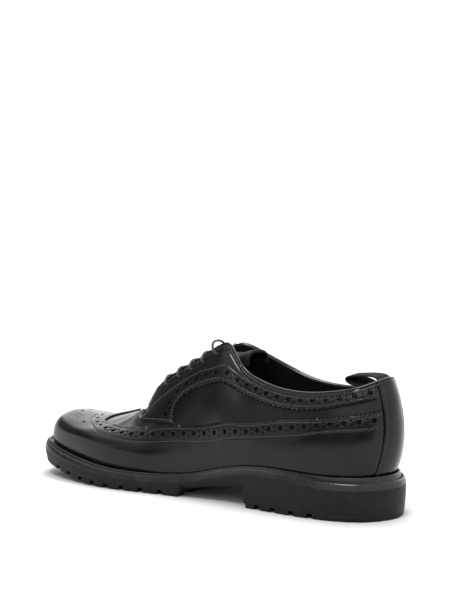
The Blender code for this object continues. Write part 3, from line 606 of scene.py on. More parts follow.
class FlatPattern:
    def __init__(self, across=801, up=81):
        self.u = np.linspace(-1.0, 1.0, across)
        self.v = np.linspace(0.0, 1.0, up)
        surface = FORM.point(self.u[:, None], self.v[None, :])
        step = np.linalg.norm(np.diff(surface, axis=0), axis=2)
        length = np.concatenate([np.zeros((1, up)), np.cumsum(step, axis=0)])
        self.x = length - length[across // 2]

    def lay(self, u, v):
        """Pattern place of (u, v)."""
        i = np.clip((np.asarray(u) + 1.0) / (self.u[1] - self.u[0]), 0, len(self.u) - 1.0001)
        j = np.clip(np.asarray(v) / (self.v[1] - self.v[0]), 0, len(self.v) - 1.0001)
        i0 = i.astype(int)
        j0 = j.astype(int)
        a = i - i0
        b = j - j0
        low = self.x[i0, j0] * (1 - a) + self.x[i0 + 1, j0] * a
        high = self.x[i0, j0 + 1] * (1 - a) + self.x[i0 + 1, j0 + 1] * a
        return np.stack([low * (1 - b) + high * b, np.asarray(v) * PATTERN_HEIGHT], axis=-1)

    def lift_off(self, xy):
        """(u, v) of pattern places, by halving the span in which each one lies."""
        v = np.clip(xy[..., 1] / PATTERN_HEIGHT, 0.0, 1.0)
        low = -np.ones_like(v)
        high = np.ones_like(v)
        for _ in range(SEARCH_STEPS):
            middle = 0.5 * (low + high)
            short = self.lay(middle, v)[..., 0] < xy[..., 0]
            low = np.where(short, middle, low)
            high = np.where(short, high, middle)
        return 0.5 * (low + high), v

    def on_last(self, xy, lift=0.0):
        """Millimetre points on the shoe of pattern places, lifted off the last."""
        u, v = self.lift_off(np.asarray(xy, float))
        return FORM.lifted(u, v, lift)

    def normal(self, xy):
        u, v = self.lift_off(np.asarray(xy, float))
        return FORM.normal(u, v)

    def stretch(self, xy):
        """What small steps along and up the pattern become on the shoe, at each place."""
        xy = np.asarray(xy, float)
        along = self.on_last(xy + (STRETCH_STEP, 0.0)) - self.on_last(xy - (STRETCH_STEP, 0.0))
        upward = self.on_last(xy + (0.0, STRETCH_STEP)) - self.on_last(xy - (0.0, STRETCH_STEP))
        return np.stack([along, upward], axis=-1) / (2 * STRETCH_STEP)


PATTERN = FlatPattern()
print("pattern width at the welt:", np.ptp(PATTERN.x[:, 0]).round(0), "mm")

# %% [markdown]
# A line on the pattern is a smooth curve through a few places read from the photograph. It knows its
# own length on the shoe, so that holes and stitches can be stepped along it at an even pitch, and it
# can be moved sideways to run beside an edge.

# %% Lines drawn on the pattern
LINE_SAMPLES = 900


class PatternLine:
    def __init__(self, places, lateral=False):
        rows = np.array(places, float)
        sign = -1.0 if lateral else 1.0
        knots = PATTERN.lay(sign * rows[:, 0], rows[:, 1])
        chord = np.linalg.norm(np.diff(knots, axis=0), axis=1) ** 0.5
        t = np.append(0.0, np.cumsum(chord))
        q = np.linspace(0.0, t[-1], LINE_SAMPLES)
        self.xy = np.column_stack([table_curve(t, knots[:, k])(q) for k in (0, 1)])
        self.lateral = lateral
        self.measure()

    def measure(self):
        shoe = PATTERN.on_last(self.xy)
        self.run = np.append(0.0, np.cumsum(np.linalg.norm(np.diff(shoe, axis=0), axis=1)))
        self.length = self.run[-1]

    def at(self, distance):
        return np.column_stack([np.interp(distance, self.run, self.xy[:, k]) for k in (0, 1)])

    def spaced(self, pitch, start=0.0, end=None):
        """Places at an even pitch close to the one asked for."""
        end = self.length if end is None else end
        count = max(2, int(round((end - start) / pitch)) + 1)
        return self.at(np.linspace(start, end, count))

    def side_step(self, xy, distance):
        """Places moved squarely to the side of the line that faces the welt, by millimetres on the shoe."""
        near = np.argmin(((self.xy[None, :, :] - xy[:, None, :]) ** 2).sum(axis=2), axis=1)
        along = unit(np.gradient(self.xy, axis=0))[near]
        aside = np.column_stack([along[:, 1], -along[:, 0]])
        stretch = PATTERN.stretch(xy)
        across = np.linalg.solve(np.einsum("nij,nik->njk", stretch, stretch), aside[:, :, None])[:, :, 0]
        length = np.linalg.norm(np.einsum("nij,nj->ni", stretch, across), axis=1, keepdims=True)
        turn = -1.0 if self.lateral else 1.0
        return xy + turn * distance * across / length

    def beside(self, distance):
        """A copy of the line, moved to the side that faces the welt."""
        copy = object.__new__(PatternLine)
        copy.lateral = self.lateral
        copy.xy = self.side_step(self.xy, distance)
        copy.measure()
        return copy


# %% [markdown]
# Cutting a panel: the outline and every hole are fed to a constrained Delaunay triangulation, with a
# loose mesh of inner points so that the leather can bend. Triangles that fall in a hole or outside
# the outline are thrown away. What is left is drawn over the last twice, once for the grain side and
# once for the flesh side, and walls close the cut edges. Cut edges sink a little, as skived and
# burnished leather does, and real holes catch real shadow.

# %% Cutting panels
HIDE_SPACING = 2.3
HIDE_ROW_SHARE = 0.87
EDGE_CLEARANCE = 0.95
BURNISH_WIDTH = 0.45
BURNISH_CLEARANCE = 0.3
EDGE_SINK = 0.32
HOLE_SINK = 0.06
SEAM_DEPTH = 0.3
SEAM_WIDTH = 0.42
SEAM_LIP = 0.6
SEAM_STEP = 1.3
HOLE_SIDES = 16
PINHOLE_SIDES = 8
HOLE_REACH = 6.0
SAME_PLACE = 0.01
FLESH_LIFT = -0.25


def punch(centres, radius, sides):
    """Rings on the pattern that come out round, of that radius, on the shoe."""
    turn = np.linspace(0.0, 2 * math.pi, sides, endpoint=False)
    circle = np.stack([np.cos(turn), np.sin(turn)])
    rings = []
    for centre, stretch in zip(centres, PATTERN.stretch(centres)):
        values, vectors = np.linalg.eigh(stretch.T @ stretch)
        shrink = vectors @ np.diag(values ** -0.5) @ vectors.T
        rings.append(centre + radius * (shrink @ circle).T)
    return rings


def inside(points, polygon):
    """Which points lie inside a closed polygon, by counting crossings."""
    found = np.zeros(len(points), bool)
    x, y = points.T
    for (x0, y0), (x1, y1) in zip(polygon, np.roll(polygon, -1, axis=0)):
        if y0 == y1:
            continue
        spans = (y0 > y) != (y1 > y)
        found ^= spans & (x < (x1 - x0) * (y - y0) / (y1 - y0) + x0)
    return found


def nearest(points, others):
    """Distance of each point from the closest of the others."""
    gaps = []
    for block in np.array_split(points, max(1, len(points) // 400)):
        gaps.append(((block[:, None, :] - others[None, :, :]) ** 2).sum(axis=2).min(axis=1))
    return np.sqrt(np.concatenate(gaps))


def clear_of(points, others, distance):
    """Points that stand at least that far from all the others."""
    return points[nearest(points, others) > distance]


def hide_points(outline, spacing):
    """A staggered mesh of places inside an outline."""
    low = outline.min(axis=0)
    high = outline.max(axis=0)
    rows = np.arange(low[1], high[1], spacing * HIDE_ROW_SHARE)
    places = []
    for k, y in enumerate(rows):
        x = np.arange(low[0] + (k % 2) * 0.5 * spacing, high[0], spacing)
        places.append(np.column_stack([x, np.full_like(x, y)]))
    places = np.concatenate(places)
    return places[inside(places, outline)]


def widened(ring, margin):
    """A ring pushed out from its middle by a margin."""
    middle = ring.mean(axis=0)
    radius = np.linalg.norm(ring - middle, axis=1).mean()
    return middle + (ring - middle) * (1 + margin / radius)


def seam_guides(seams):
    """Places along the bottom and both lips of the groove that a row of stitches pulls in."""
    return [line.beside(side * SEAM_LIP).spaced(SEAM_STEP) for line in seams for side in (-1.0, 0.0, 1.0)]


def panel_places(outline, rings, guides):
    """A panel's points on the pattern: its cut edges, its guides, and loose ones between."""
    fixed = np.concatenate([outline] + rings)
    soft = np.concatenate([widened(ring, BURNISH_WIDTH) for ring in rings] + guides)
    soft = soft[inside(soft, outline)]
    held = np.concatenate([fixed, soft])
    loose = clear_of(hide_points(outline, HIDE_SPACING), held, EDGE_CLEARANCE)
    soft = clear_of(soft, fixed, BURNISH_CLEARANCE * BURNISH_WIDTH)
    return np.concatenate([fixed, soft, loose])


def panel_triangles(places, outline, rings):
    """The panel's points and triangles, without those that fall outside it or in a hole."""
    edges = []
    base = 0
    for loop in [outline] + rings:
        edges += [(base + k, base + (k + 1) % len(loop)) for k in range(len(loop))]
        base += len(loop)
    flat, _, triangles, _, _, _ = delaunay_2d_cdt([Vector(p) for p in places], edges, [], 0, 1e-5)
    flat = np.array([tuple(p) for p in flat])
    triangles = np.array([tri for tri in triangles if len(tri) == 3])
    middle = flat[triangles].mean(axis=1)
    keep = inside(middle, outline)
    for ring in rings:
        near = np.flatnonzero(((middle - ring.mean(axis=0)) ** 2).sum(axis=1) < HOLE_REACH ** 2)
        keep[near[inside(middle[near], ring)]] = False
    return flat, triangles[keep]


def cut_rim(triangles):
    """Pairs of points along the cut edges: the sides that only one triangle has."""
    sides = np.concatenate([triangles[:, pair] for pair in ([0, 1], [1, 2], [2, 0])])
    pairs, uses = np.unique(np.sort(sides, axis=1), axis=0, return_counts=True)
    return {tuple(pair) for pair in pairs[uses == 1]}


def grain_lifts(flat, rim, outline, seams):
    """Height of the grain side over the last: sunk at cut edges and pulled in along seams."""
    lifts = np.full(len(flat), PANEL_LIFT)
    for line in seams:
        lifts -= SEAM_DEPTH * np.exp(-(nearest(flat, line.xy) / SEAM_WIDTH) ** 2)
    cut = np.unique(np.array(sorted(rim)))
    on_outline = nearest(flat[cut], outline) < SAME_PLACE
    lifts[cut] = PANEL_LIFT - np.where(on_outline, EDGE_SINK, HOLE_SINK)
    return lifts


def tidy_numbers(faces, count):
    """Drops points that no face uses, and numbers the rest again."""
    used = np.unique(np.concatenate([np.asarray(face) for face in faces]))
    number = np.full(count, -1)
    number[used] = np.arange(len(used))
    return used, [tuple(number[k] for k in face) for face in faces]


def cut_panel(name, outline, rings, guides, seams, finish, stands_for):
    """A leather panel: outline and hole rings on the pattern, guide places for its bends, and its seams."""
    places = panel_places(outline, rings, guides + seam_guides(seams))
    flat, triangles = panel_triangles(places, outline, rings)
    rim = cut_rim(triangles)
    grain_side = PATTERN.on_last(flat, grain_lifts(flat, rim, outline, seams))
    flesh = PATTERN.on_last(flat, FLESH_LIFT)
    count = len(flat)
    faces = [tuple(tri) for tri in triangles] + [tuple(count + k for k in tri[::-1]) for tri in triangles]
    for tri in triangles:
        for a, b in zip(tri, np.roll(tri, -1)):
            if (min(a, b), max(a, b)) in rim:
                faces.append((a, count + a, count + b, b))
    used, faces = tidy_numbers(faces, 2 * count)
    points = np.concatenate([grain_side, flesh])[used]
    return add_piece(name, points, faces, finish, stands_for)


def pinked(line, pitch, depth):
    """An edge cut with pinking shears: points on the line, and points between them set back."""
    teeth = line.spaced(0.5 * pitch)
    back = line.side_step(teeth, depth)
    teeth[1::2] = back[1::2]
    return teeth


# %% [markdown]
# The wing is the panel that names a longwing: its edge starts in a peak on the toe, dips to a lobe
# on each side and runs all the way back to the heel. The edge is pinked, a row of large punched
# holes follows it with a pair of pinholes between each two, and the toe carries a small medallion.

# %% The wing's lines
WING_PEAK_EDGE = (
    # s, v from the peak at the throat to the front of the lobe
    (0.000, 0.968), (0.008, 0.955), (0.013, 0.910), (0.018, 0.855), (0.026, 0.800), (0.045, 0.755),
    (0.078, 0.716),
)
WING_SIDE_EDGE = (
    # s, v from the lobe to the back strip
    (0.078, 0.716), (0.100, 0.724), (0.156, 0.740), (0.240, 0.734), (0.304, 0.688), (0.366, 0.578),
    (0.402, 0.512), (0.448, 0.458), (0.500, 0.405), (0.593, 0.355), (0.660, 0.420), (0.720, 0.517),
    (0.786, 0.648), (0.850, 0.701), (0.912, 0.720), (0.969, 0.703),
)
WING_HOLE_LINE = (
    # s, v
    (0.024, 0.652), (0.068, 0.647), (0.110, 0.641), (0.194, 0.612), (0.254, 0.585), (0.298, 0.545),
    (0.338, 0.483), (0.372, 0.436), (0.398, 0.412), (0.455, 0.357), (0.513, 0.321), (0.596, 0.278),
    (0.682, 0.350), (0.774, 0.510), (0.831, 0.588), (0.883, 0.628), (0.933, 0.632), (0.962, 0.612),
)
WING_LOWER_STITCH = (
    # s, v
    (0.022, 0.598), (0.056, 0.596), (0.090, 0.590), (0.128, 0.574), (0.212, 0.496), (0.248, 0.449),
    (0.304, 0.402), (0.356, 0.349), (0.417, 0.310), (0.510, 0.258), (0.591, 0.222), (0.690, 0.290),
    (0.785, 0.426), (0.865, 0.545), (0.957, 0.545),
)
TOOTH_PITCH = 2.8
TOOTH_DEPTH = 1.4
COLLAR_TOOTH_PITCH = 4.0
COLLAR_TOOTH_DEPTH = 1.6
HOLE_PITCH = 9.2
HOLE_RADIUS = 1.65
COLLAR_HOLE_PITCH = 9.7
COLLAR_HOLE_RADIUS = 1.75
PINHOLE_RADIUS = 0.6
PINHOLE_OFFSET = 1.7
PANEL_FOOT = 0.006
BACKSTAY_FOOT = 0.941
BACKSTAY_SPREAD = 0.033
BACKSTAY_POWER = 2.6
BACK_STATIONS = 24
SEAM_GAP = 0.0028


def backstay_edge(v):
    """s of the back strip's edge at height v."""
    return BACKSTAY_FOOT + BACKSTAY_SPREAD * (1 - (1 - np.clip(v, 0.0, 1.0)) ** BACKSTAY_POWER)


def down_the_back(top, bottom, sign):
    """Places down the seam beside the back strip."""
    v = np.linspace(top, bottom, BACK_STATIONS)
    return PATTERN.lay(sign * (backstay_edge(v) - SEAM_GAP), v)


EDGE_STITCH_IN = 1.5
WING_EDGES = {}
WING_SEAMS = {}
WING_HOLES = {}
WING_LOWER = {}
for lateral in (False, True):
    WING_EDGES[lateral] = PatternLine(WING_SIDE_EDGE, lateral)
    WING_SEAMS[lateral] = WING_EDGES[lateral].beside(TOOTH_DEPTH + EDGE_STITCH_IN)
    WING_HOLES[lateral] = PatternLine(WING_HOLE_LINE, lateral)
    WING_LOWER[lateral] = PatternLine(WING_LOWER_STITCH, lateral)
print("wing edge, medial and lateral:", WING_EDGES[False].length.round(0), WING_EDGES[True].length.round(0))

# %% [markdown]
# The medallion is punched in the same pass as the rows. Under each large hole lies a small matt dark
# disc, and a matt strip backs the pinked edge: both are painted shade, so that holes and notches look
# into the dark. A bump could draw the holes too, but real cuts keep their shadow from every side.

# %% Cut the wing
MEDALLION_HOLES = (
    # s, v of the large holes on the toe
    (0.018, 0.416), (0.098, 0.512),
)
MEDALLION_CURLS = (
    # s, v of curved rows of pinholes on the toe
    ((0.050, 0.330), (0.034, 0.350), (0.037, 0.393), (0.045, 0.443), (0.056, 0.500)),
    ((0.062, 0.372), (0.054, 0.398), (0.058, 0.425), (0.070, 0.462)),
    ((0.012, 0.490), (0.022, 0.530), (0.034, 0.578), (0.050, 0.610)),
)
MEDALLION_SHARE = 0.85
CURL_PITCH = 2.6
CURL_HOLE_RADIUS = 0.55
ROW_END_MARGIN = 4.0
OUTLINE_STEP = 1.6
GUIDE_STEP = 1.4
WELT_STATIONS = 290
HOLE_DEPTH = 1.15
SHADE_DISC_OVERLAP = 0.3
NOTCH_SHADE_LIFT = 0.14
NOTCH_SHADE_ROWS = (0.1, 1.6, 3.2)


def brogue_holes(line, pitch, radius):
    """Rings of one punched row: large holes, and a pair of pinholes midway between each two."""
    end = line.length - ROW_END_MARGIN
    large = line.spaced(pitch, 0.0, end)
    step = np.linspace(0.0, end, len(large))
    midway = line.at(0.5 * (step[1:] + step[:-1]))
    pairs = np.concatenate([line.side_step(midway, PINHOLE_OFFSET), line.side_step(midway, -PINHOLE_OFFSET)])
    return punch(large, radius, HOLE_SIDES) + punch(pairs, PINHOLE_RADIUS, PINHOLE_SIDES)


def painted_hole_shade(name, rings):
    """Painted shade at the bottom of the punched holes: one small matt dark disc under each."""
    points = []
    faces = []
    for ring in rings:
        faces.append(tuple(len(points) * HOLE_SIDES + k for k in range(HOLE_SIDES)))
        points.append(PATTERN.on_last(widened(ring, SHADE_DISC_OVERLAP), PANEL_LIFT - HOLE_DEPTH))
    return add_piece(name, np.concatenate(points), faces, HOLE_SHADE_FINISH)


def notch_shade_strip(name, line, inward):
    """Painted shade: a matt dark strip under a pinked edge, so that the notches between its teeth look dark.
    """
    rows = [PATTERN.on_last(line.side_step(line.xy[::2], inward * way), NOTCH_SHADE_LIFT) for way in NOTCH_SHADE_ROWS]
    surface = np.stack(rows, axis=1)
    faces = grid_faces(surface.shape[0], surface.shape[1])
    if (inward > 0) == line.lateral:
        faces = [face[::-1] for face in faces]
    return add_piece(name, surface.reshape(-1, 3), faces, HOLE_SHADE_FINISH)


def medallion_rings():
    """The holes on the toe: large ones, and curls of pinholes, alike on both sides."""
    large = np.array(list(MEDALLION_HOLES) + [(-s, v) for s, v in MEDALLION_HOLES])
    rings = punch(PATTERN.lay(large[:, 0], large[:, 1]), MEDALLION_SHARE * HOLE_RADIUS, HOLE_SIDES)
    for curl in MEDALLION_CURLS:
        for lateral in (False, True):
            rings += punch(PatternLine(curl, lateral).spaced(CURL_PITCH), CURL_HOLE_RADIUS, PINHOLE_SIDES)
    return rings


def make_wing():
    peak = PatternLine(WING_PEAK_EDGE)
    far_peak = PatternLine(WING_PEAK_EDGE, True)
    near_teeth = pinked(WING_EDGES[False], TOOTH_PITCH, TOOTH_DEPTH)
    far_teeth = pinked(WING_EDGES[True], TOOTH_PITCH, TOOTH_DEPTH)
    top = WING_SIDE_EDGE[-1][1]
    back_corner = backstay_edge(PANEL_FOOT) - SEAM_GAP
    welt_u = np.linspace(back_corner, -back_corner, WELT_STATIONS)
    foot = PATTERN.lay(welt_u, np.full_like(welt_u, PANEL_FOOT))
    outline = np.concatenate([
        far_peak.spaced(OUTLINE_STEP)[1:-1], far_teeth,
        down_the_back(top, PANEL_FOOT, -1.0)[1:-1], foot[::-1], down_the_back(top, PANEL_FOOT, 1.0)[-2:0:-1],
        near_teeth[::-1], peak.spaced(OUTLINE_STEP)[::-1][1:]])
    rings = medallion_rings()
    guides = []
    seams = []
    for lateral in (False, True):
        rings += brogue_holes(WING_HOLES[lateral], HOLE_PITCH, HOLE_RADIUS)
        guides.append(WING_EDGES[lateral].beside(TOOTH_DEPTH + BURNISH_WIDTH).spaced(GUIDE_STEP))
        # Painted shade: a matt dark strip under the wing's pinked edge darkens its notches.
        notch_shade_strip("wing_edge_backing", WING_EDGES[lateral], 1.0)
        seams += [WING_SEAMS[lateral], WING_LOWER[lateral]]
    # Painted shade: matt dark discs under the wing's large holes.
    painted_hole_shade("wing_painted_hole_shade", [ring for ring in rings if len(ring) == HOLE_SIDES])
    return cut_panel("wing_panel", outline, rings, guides, seams, WING_FINISH, ("wing",))


WING = make_wing()
print("wing:", len(WING.data.polygons), "faces")

# %% [markdown]
# Each facing carries the five eyelets, drops a square tab on to the wing, and turns back along the
# ankle as the collar band. The tab's foot is plain, and the rest of its lower edge is pinked and
# punched like the wing. The eyelets are plain holes in the leather, with no metal in them.

# %% The facings
TAB_FOOT = (
    # s, v along the tab's lower edge
    (FACING_FRONT, 0.700), (0.390, 0.612), (0.430, 0.523), (0.473, 0.446),
)
COLLAR_EDGE = (
    # s, v from the tab's back corner along the collar band
    (0.473, 0.446), (0.4735, 0.530), (0.476, 0.612), (0.489, 0.669), (0.522, 0.693), (0.553, 0.688),
    (0.592, 0.670), (0.632, 0.690), (0.671, 0.748), (0.719, 0.764), (0.757, 0.757), (0.791, 0.768),
    (0.874, 0.798), (0.915, 0.820), (0.970, 0.810),
)
FACING_HOLE_LINE = (
    # s, v
    (0.447, 0.560), (0.450, 0.620), (0.455, 0.690), (0.473, 0.760), (0.500, 0.783), (0.526, 0.786),
    (0.560, 0.768), (0.584, 0.756), (0.615, 0.775), (0.645, 0.815), (0.680, 0.862), (0.711, 0.884),
    (0.769, 0.890), (0.820, 0.903), (0.869, 0.908), (0.919, 0.917), (0.966, 0.908),
)
FACING_STITCH = (
    # s, v of the seam above the holes
    (0.362, 0.800), (0.385, 0.818), (0.412, 0.828), (0.448, 0.834), (0.504, 0.846), (0.546, 0.834),
    (0.585, 0.806), (0.625, 0.850), (0.660, 0.905), (0.711, 0.935), (0.790, 0.940), (0.880, 0.948),
    (0.966, 0.950),
)
EYELETS = (0.428, 0.466, 0.503, 0.541, 0.579)
EYELET_V = 0.925
EYELET_RADIUS = 1.3
TOP_V = 0.998
FRONT_SEAM_DROP = 2.4
FRONT_SEAM_SPAN = (0.40, 0.596)
COLLAR_SEAM_DROP = 4.0
COLLAR_SEAM_SPAN = (0.612, 0.966)
EDGE_SPAN = 0.05
EDGE_LINE_PLACES = 60
TOP_EDGE_STEP = 0.006
CORNER_PLACES = 16
FRONT_PLACES = 12
BAND_END_PLACES = 8


def drop_down(s, lateral, drop):
    """v at that distance in millimetres below the opening's edge."""
    sign = -1.0 if lateral else 1.0
    edge = FORM.point(sign * s, np.ones_like(s))
    lower = FORM.point(sign * s, np.full_like(s, 1.0 - EDGE_SPAN))
    return 1.0 - EDGE_SPAN * drop / np.linalg.norm(edge - lower, axis=-1)


def line_below_edge(span, drop, lateral):
    """A line that follows the opening's edge at that distance below it."""
    s = np.linspace(*span, EDGE_LINE_PLACES)
    return PatternLine(np.column_stack([s, drop_down(s, lateral, drop)]), lateral)


TAB_LINES = {}
COLLAR_LINES = {}
FACING_HOLES = {}
FACING_SEAMS = {}
for lateral in (False, True):
    TAB_LINES[lateral] = PatternLine(TAB_FOOT, lateral)
    COLLAR_LINES[lateral] = PatternLine(COLLAR_EDGE, lateral)
    FACING_HOLES[lateral] = PatternLine(FACING_HOLE_LINE, lateral)
    FACING_SEAMS[lateral] = [
        PatternLine(FACING_STITCH, lateral),
        COLLAR_LINES[lateral].beside(-COLLAR_TOOTH_DEPTH - EDGE_STITCH_IN),
        TAB_LINES[lateral].beside(-EDGE_STITCH_IN),
        line_below_edge(FRONT_SEAM_SPAN, FRONT_SEAM_DROP, lateral),
        line_below_edge(COLLAR_SEAM_SPAN, COLLAR_SEAM_DROP, lateral)]


def make_facing(lateral, name, stands_for):
    sign = -1.0 if lateral else 1.0
    teeth = pinked(COLLAR_LINES[lateral], COLLAR_TOOTH_PITCH, -COLLAR_TOOTH_DEPTH)
    back_v = np.linspace(COLLAR_EDGE[-1][1], TOP_V, BAND_END_PLACES)
    back = PATTERN.lay(sign * (backstay_edge(back_v) - SEAM_GAP), back_v)
    top_s = np.append(np.arange(backstay_edge(1.0) - SEAM_GAP, CORNER_END, -TOP_EDGE_STEP),
                      np.linspace(CORNER_END, FACING_FRONT, CORNER_PLACES))
    top = PATTERN.lay(sign * top_s, TOP_V * opening_edge(top_s))
    front_v = np.linspace(TOP_V * opening_edge(FACING_FRONT), TAB_FOOT[0][1], FRONT_PLACES)
    front = PATTERN.lay(sign * np.full_like(front_v, FACING_FRONT), front_v)
    tab_foot = TAB_LINES[lateral].spaced(OUTLINE_STEP)
    outline = np.concatenate([stretch[:-1] for stretch in (tab_foot, teeth, back, top, front)])
    eyelets = PATTERN.lay(sign * np.array(EYELETS), np.full(len(EYELETS), EYELET_V))
    punched = brogue_holes(FACING_HOLES[lateral], COLLAR_HOLE_PITCH, COLLAR_HOLE_RADIUS)
    # Painted shade: matt dark discs under the collar's large holes.
    painted_hole_shade(name + "_painted_hole_shade", [ring for ring in punched if len(ring) == HOLE_SIDES])
    # Painted shade: a matt dark strip under the collar's pinked edge darkens its notches.
    notch_shade_strip(name + "_backing", COLLAR_LINES[lateral], -1.0)
    rings = punched + punch(eyelets, EYELET_RADIUS, HOLE_SIDES)
    guides = [COLLAR_LINES[lateral].beside(-COLLAR_TOOTH_DEPTH - BURNISH_WIDTH).spaced(GUIDE_STEP),
              TAB_LINES[lateral].beside(-BURNISH_WIDTH).spaced(GUIDE_STEP)]
    return cut_panel(name, outline, rings, guides, FACING_SEAMS[lateral], FACING_FINISH, (stands_for,))


FACING_MEDIAL = make_facing(False, "facing_panel_medial", "facing_medial")
FACING_LATERAL = make_facing(True, "facing_panel_lateral", "facing_lateral")
print("facings:", len(FACING_MEDIAL.data.polygons), len(FACING_LATERAL.data.polygons), "faces")

# %% [markdown]
# With the panels' lines known, the leather under them can be told apart from leather that shows.

# %% Dress the covered leather
COVER_MARGIN = 1.2
TAB_FRONT_MARGIN = 0.006
TAB_BACK = 0.468
BAND_FRONT = 0.48


def line_height(line, s):
    """v of a line on the shoe at each s."""
    u, v = PATTERN.lift_off(line.xy)
    order = np.argsort(np.abs(u))
    return np.interp(s, np.abs(u)[order], v[order])


def dress_upper():
    """Lining inside, a matt dark finish under the panels as painted shade for holes and notches, polished
    calf where the vamp and quarters show.
    """
    count = len(UPPER_U)
    faces_per_column = UPPER_ROW_COUNT - 1
    inside_rows = np.tile(np.arange(faces_per_column) >= OUTER_ROWS + EDGE_STEPS - 1, count)
    u = UPPER_U + 0.5 * np.append(np.diff(UPPER_U), 2.0 - UPPER_U[-1])
    signed = np.repeat(np.where(u <= 1.0, u, u - 2.0), faces_per_column)
    s = np.abs(signed)
    v = (0.5 * (UPPER_V[:, 1:] + UPPER_V[:, :-1])).reshape(-1)
    # Painted shade: faces under a panel take the matt dark finish, so that holes and notches show darkness
    # beneath them.
    covered = np.zeros(count * faces_per_column, bool)
    for lateral in (False, True):
        under_wing = v < line_height(WING_EDGES[lateral].beside(COVER_MARGIN), s)
        band = COLLAR_LINES[lateral].beside(-COVER_MARGIN - COLLAR_TOOTH_DEPTH)
        under_band = (v > line_height(band, s)) & (s > BAND_FRONT)
        under_tab = v > line_height(TAB_LINES[lateral].beside(-COVER_MARGIN), s)
        under_tab &= (s > FACING_FRONT + TAB_FRONT_MARGIN) & (s < TAB_BACK)
        covered |= ((signed < 0) == lateral) & (under_wing | under_band | under_tab)
    index = np.where(inside_rows, 1, np.where(covered, 2, 0)).astype(np.int32)
    UPPER.data.polygons.foreach_set("material_index", index)
    return index


FINISH_OF_FACE = dress_upper()
# The third count is the faces dressed in the matt painted-shade finish under the panels.
print("faces of calf, lining, flesh side:", np.bincount(FINISH_OF_FACE))

# %% [markdown]
# A strip covers the seam at the back of the heel, narrow at the collar and wider at the welt. It
# straddles u = 1, where the flat pattern ends, so it isn't cut from the hide like the other panels
# but made as its own small grid across the heel.

# %% The back strip
STRIP_COLUMNS = 61
STRIP_ROWS = 60
STRIP_EDGE = 0.08
STRIP_STITCH_IN = 0.006
STRIP_GROOVE_WIDTH = 0.0016


def make_back_strip():
    v = np.linspace(PANEL_FOOT, TOP_V, STRIP_ROWS)
    across = np.linspace(-1.0, 1.0, STRIP_COLUMNS)[:, None]
    u = 1.0 + across * (1.0 - backstay_edge(v))
    rounded = EDGE_SINK * np.clip((np.abs(across) - 1.0 + STRIP_EDGE) / STRIP_EDGE, 0.0, 1.0)
    from_edge = (1.0 - np.abs(across)) * (1.0 - backstay_edge(v))
    groove = SEAM_DEPTH * np.exp(-((from_edge - STRIP_STITCH_IN) / STRIP_GROOVE_WIDTH) ** 2)
    lift = PANEL_LIFT - rounded - groove
    grain_side = FORM.lifted(u, np.broadcast_to(v, u.shape), lift)
    flesh = FORM.lifted(u, np.broadcast_to(v, u.shape), np.full(u.shape, FLESH_LIFT))
    faces = grid_faces(STRIP_COLUMNS, STRIP_ROWS)
    count = STRIP_COLUMNS * STRIP_ROWS
    faces += [tuple(count + k for k in reversed(face)) for face in faces]
    ring = [i * STRIP_ROWS for i in range(STRIP_COLUMNS)]
    ring += [(STRIP_COLUMNS - 1) * STRIP_ROWS + j for j in range(1, STRIP_ROWS)]
    ring += [i * STRIP_ROWS + STRIP_ROWS - 1 for i in range(STRIP_COLUMNS - 2, -1, -1)]
    ring += [j for j in range(STRIP_ROWS - 2, 0, -1)]
    for a, b in zip(ring, ring[1:] + ring[:1]):
        faces.append((a, count + a, count + b, b))
    points = np.concatenate([grain_side.reshape(-1, 3), flesh.reshape(-1, 3)])
    return add_piece("back_strip", points, faces, BACK_FINISH, ("backstay",))


BACK_STRIP = make_back_strip()
print("back strip:", len(BACK_STRIP.data.polygons), "faces")

# %% [markdown]
# The collar's edge is turned over and rolled, which shows as a bright bead round the ankle. An oval
# tube along the opening's edge covers the raw edges of lining, quarter and facing, and a thinner cord
# below it is the second fold. Along the lacing the facings' edges are cut and dyed, not rolled, so
# the tube there is low and matt.

# %% The rolled edge of the collar
COLLAR_START = 0.597
HEEL_BACK = 0.999
BEAD_STATIONS = 440
BEAD_SIDES = 14
BEAD_HALF_WIDTH = 1.95
BEAD_HALF_HEIGHT = 1.05
BEAD_LIFT = -0.22
CUT_STATIONS = 120
CUT_SIDES = 12
CUT_HALF_WIDTH = 1.62
CUT_HALF_HEIGHT = 1.0
CUT_OVERLAP = 0.002
FOLD_STATIONS = 200
FOLD_SIDES = 10
FOLD_DROP = 2.1
FOLD_SINK = 0.1
FOLD_HALF = 0.5


def edge_frame(u, v):
    """Point of the last, and the directions outward from it and square to a line along it."""
    point = FORM.point(u, v)
    out = FORM.normal(u, v)
    rise = unit(np.cross(out, np.gradient(point, axis=0)))
    upward = point - FORM.point(u, v - RISE_STEP)
    rise *= np.sign((rise * upward).sum(axis=-1, keepdims=True))
    return point, out, rise


def make_collar_bead():
    u = np.linspace(COLLAR_START, 2.0 - COLLAR_START, BEAD_STATIONS)
    point, out, rise = edge_frame(u, np.ones_like(u))
    points, faces = tube(point + out * BEAD_LIFT, out, rise, BEAD_SIDES, BEAD_HALF_WIDTH, BEAD_HALF_HEIGHT)
    return add_piece("collar_bead", points, faces, FACING_FINISH)


def make_cut_edge(lateral, name):
    s = np.linspace(FACING_FRONT, COLLAR_START + CUT_OVERLAP, CUT_STATIONS)
    u = 2.0 - s[::-1] if lateral else s
    point, out, rise = edge_frame(u, opening_edge(side_share(u)))
    points, faces = tube(point + out * BEAD_LIFT, out, rise, CUT_SIDES, CUT_HALF_WIDTH, CUT_HALF_HEIGHT)
    return add_piece(name, points, faces, CUT_EDGE_FINISH)


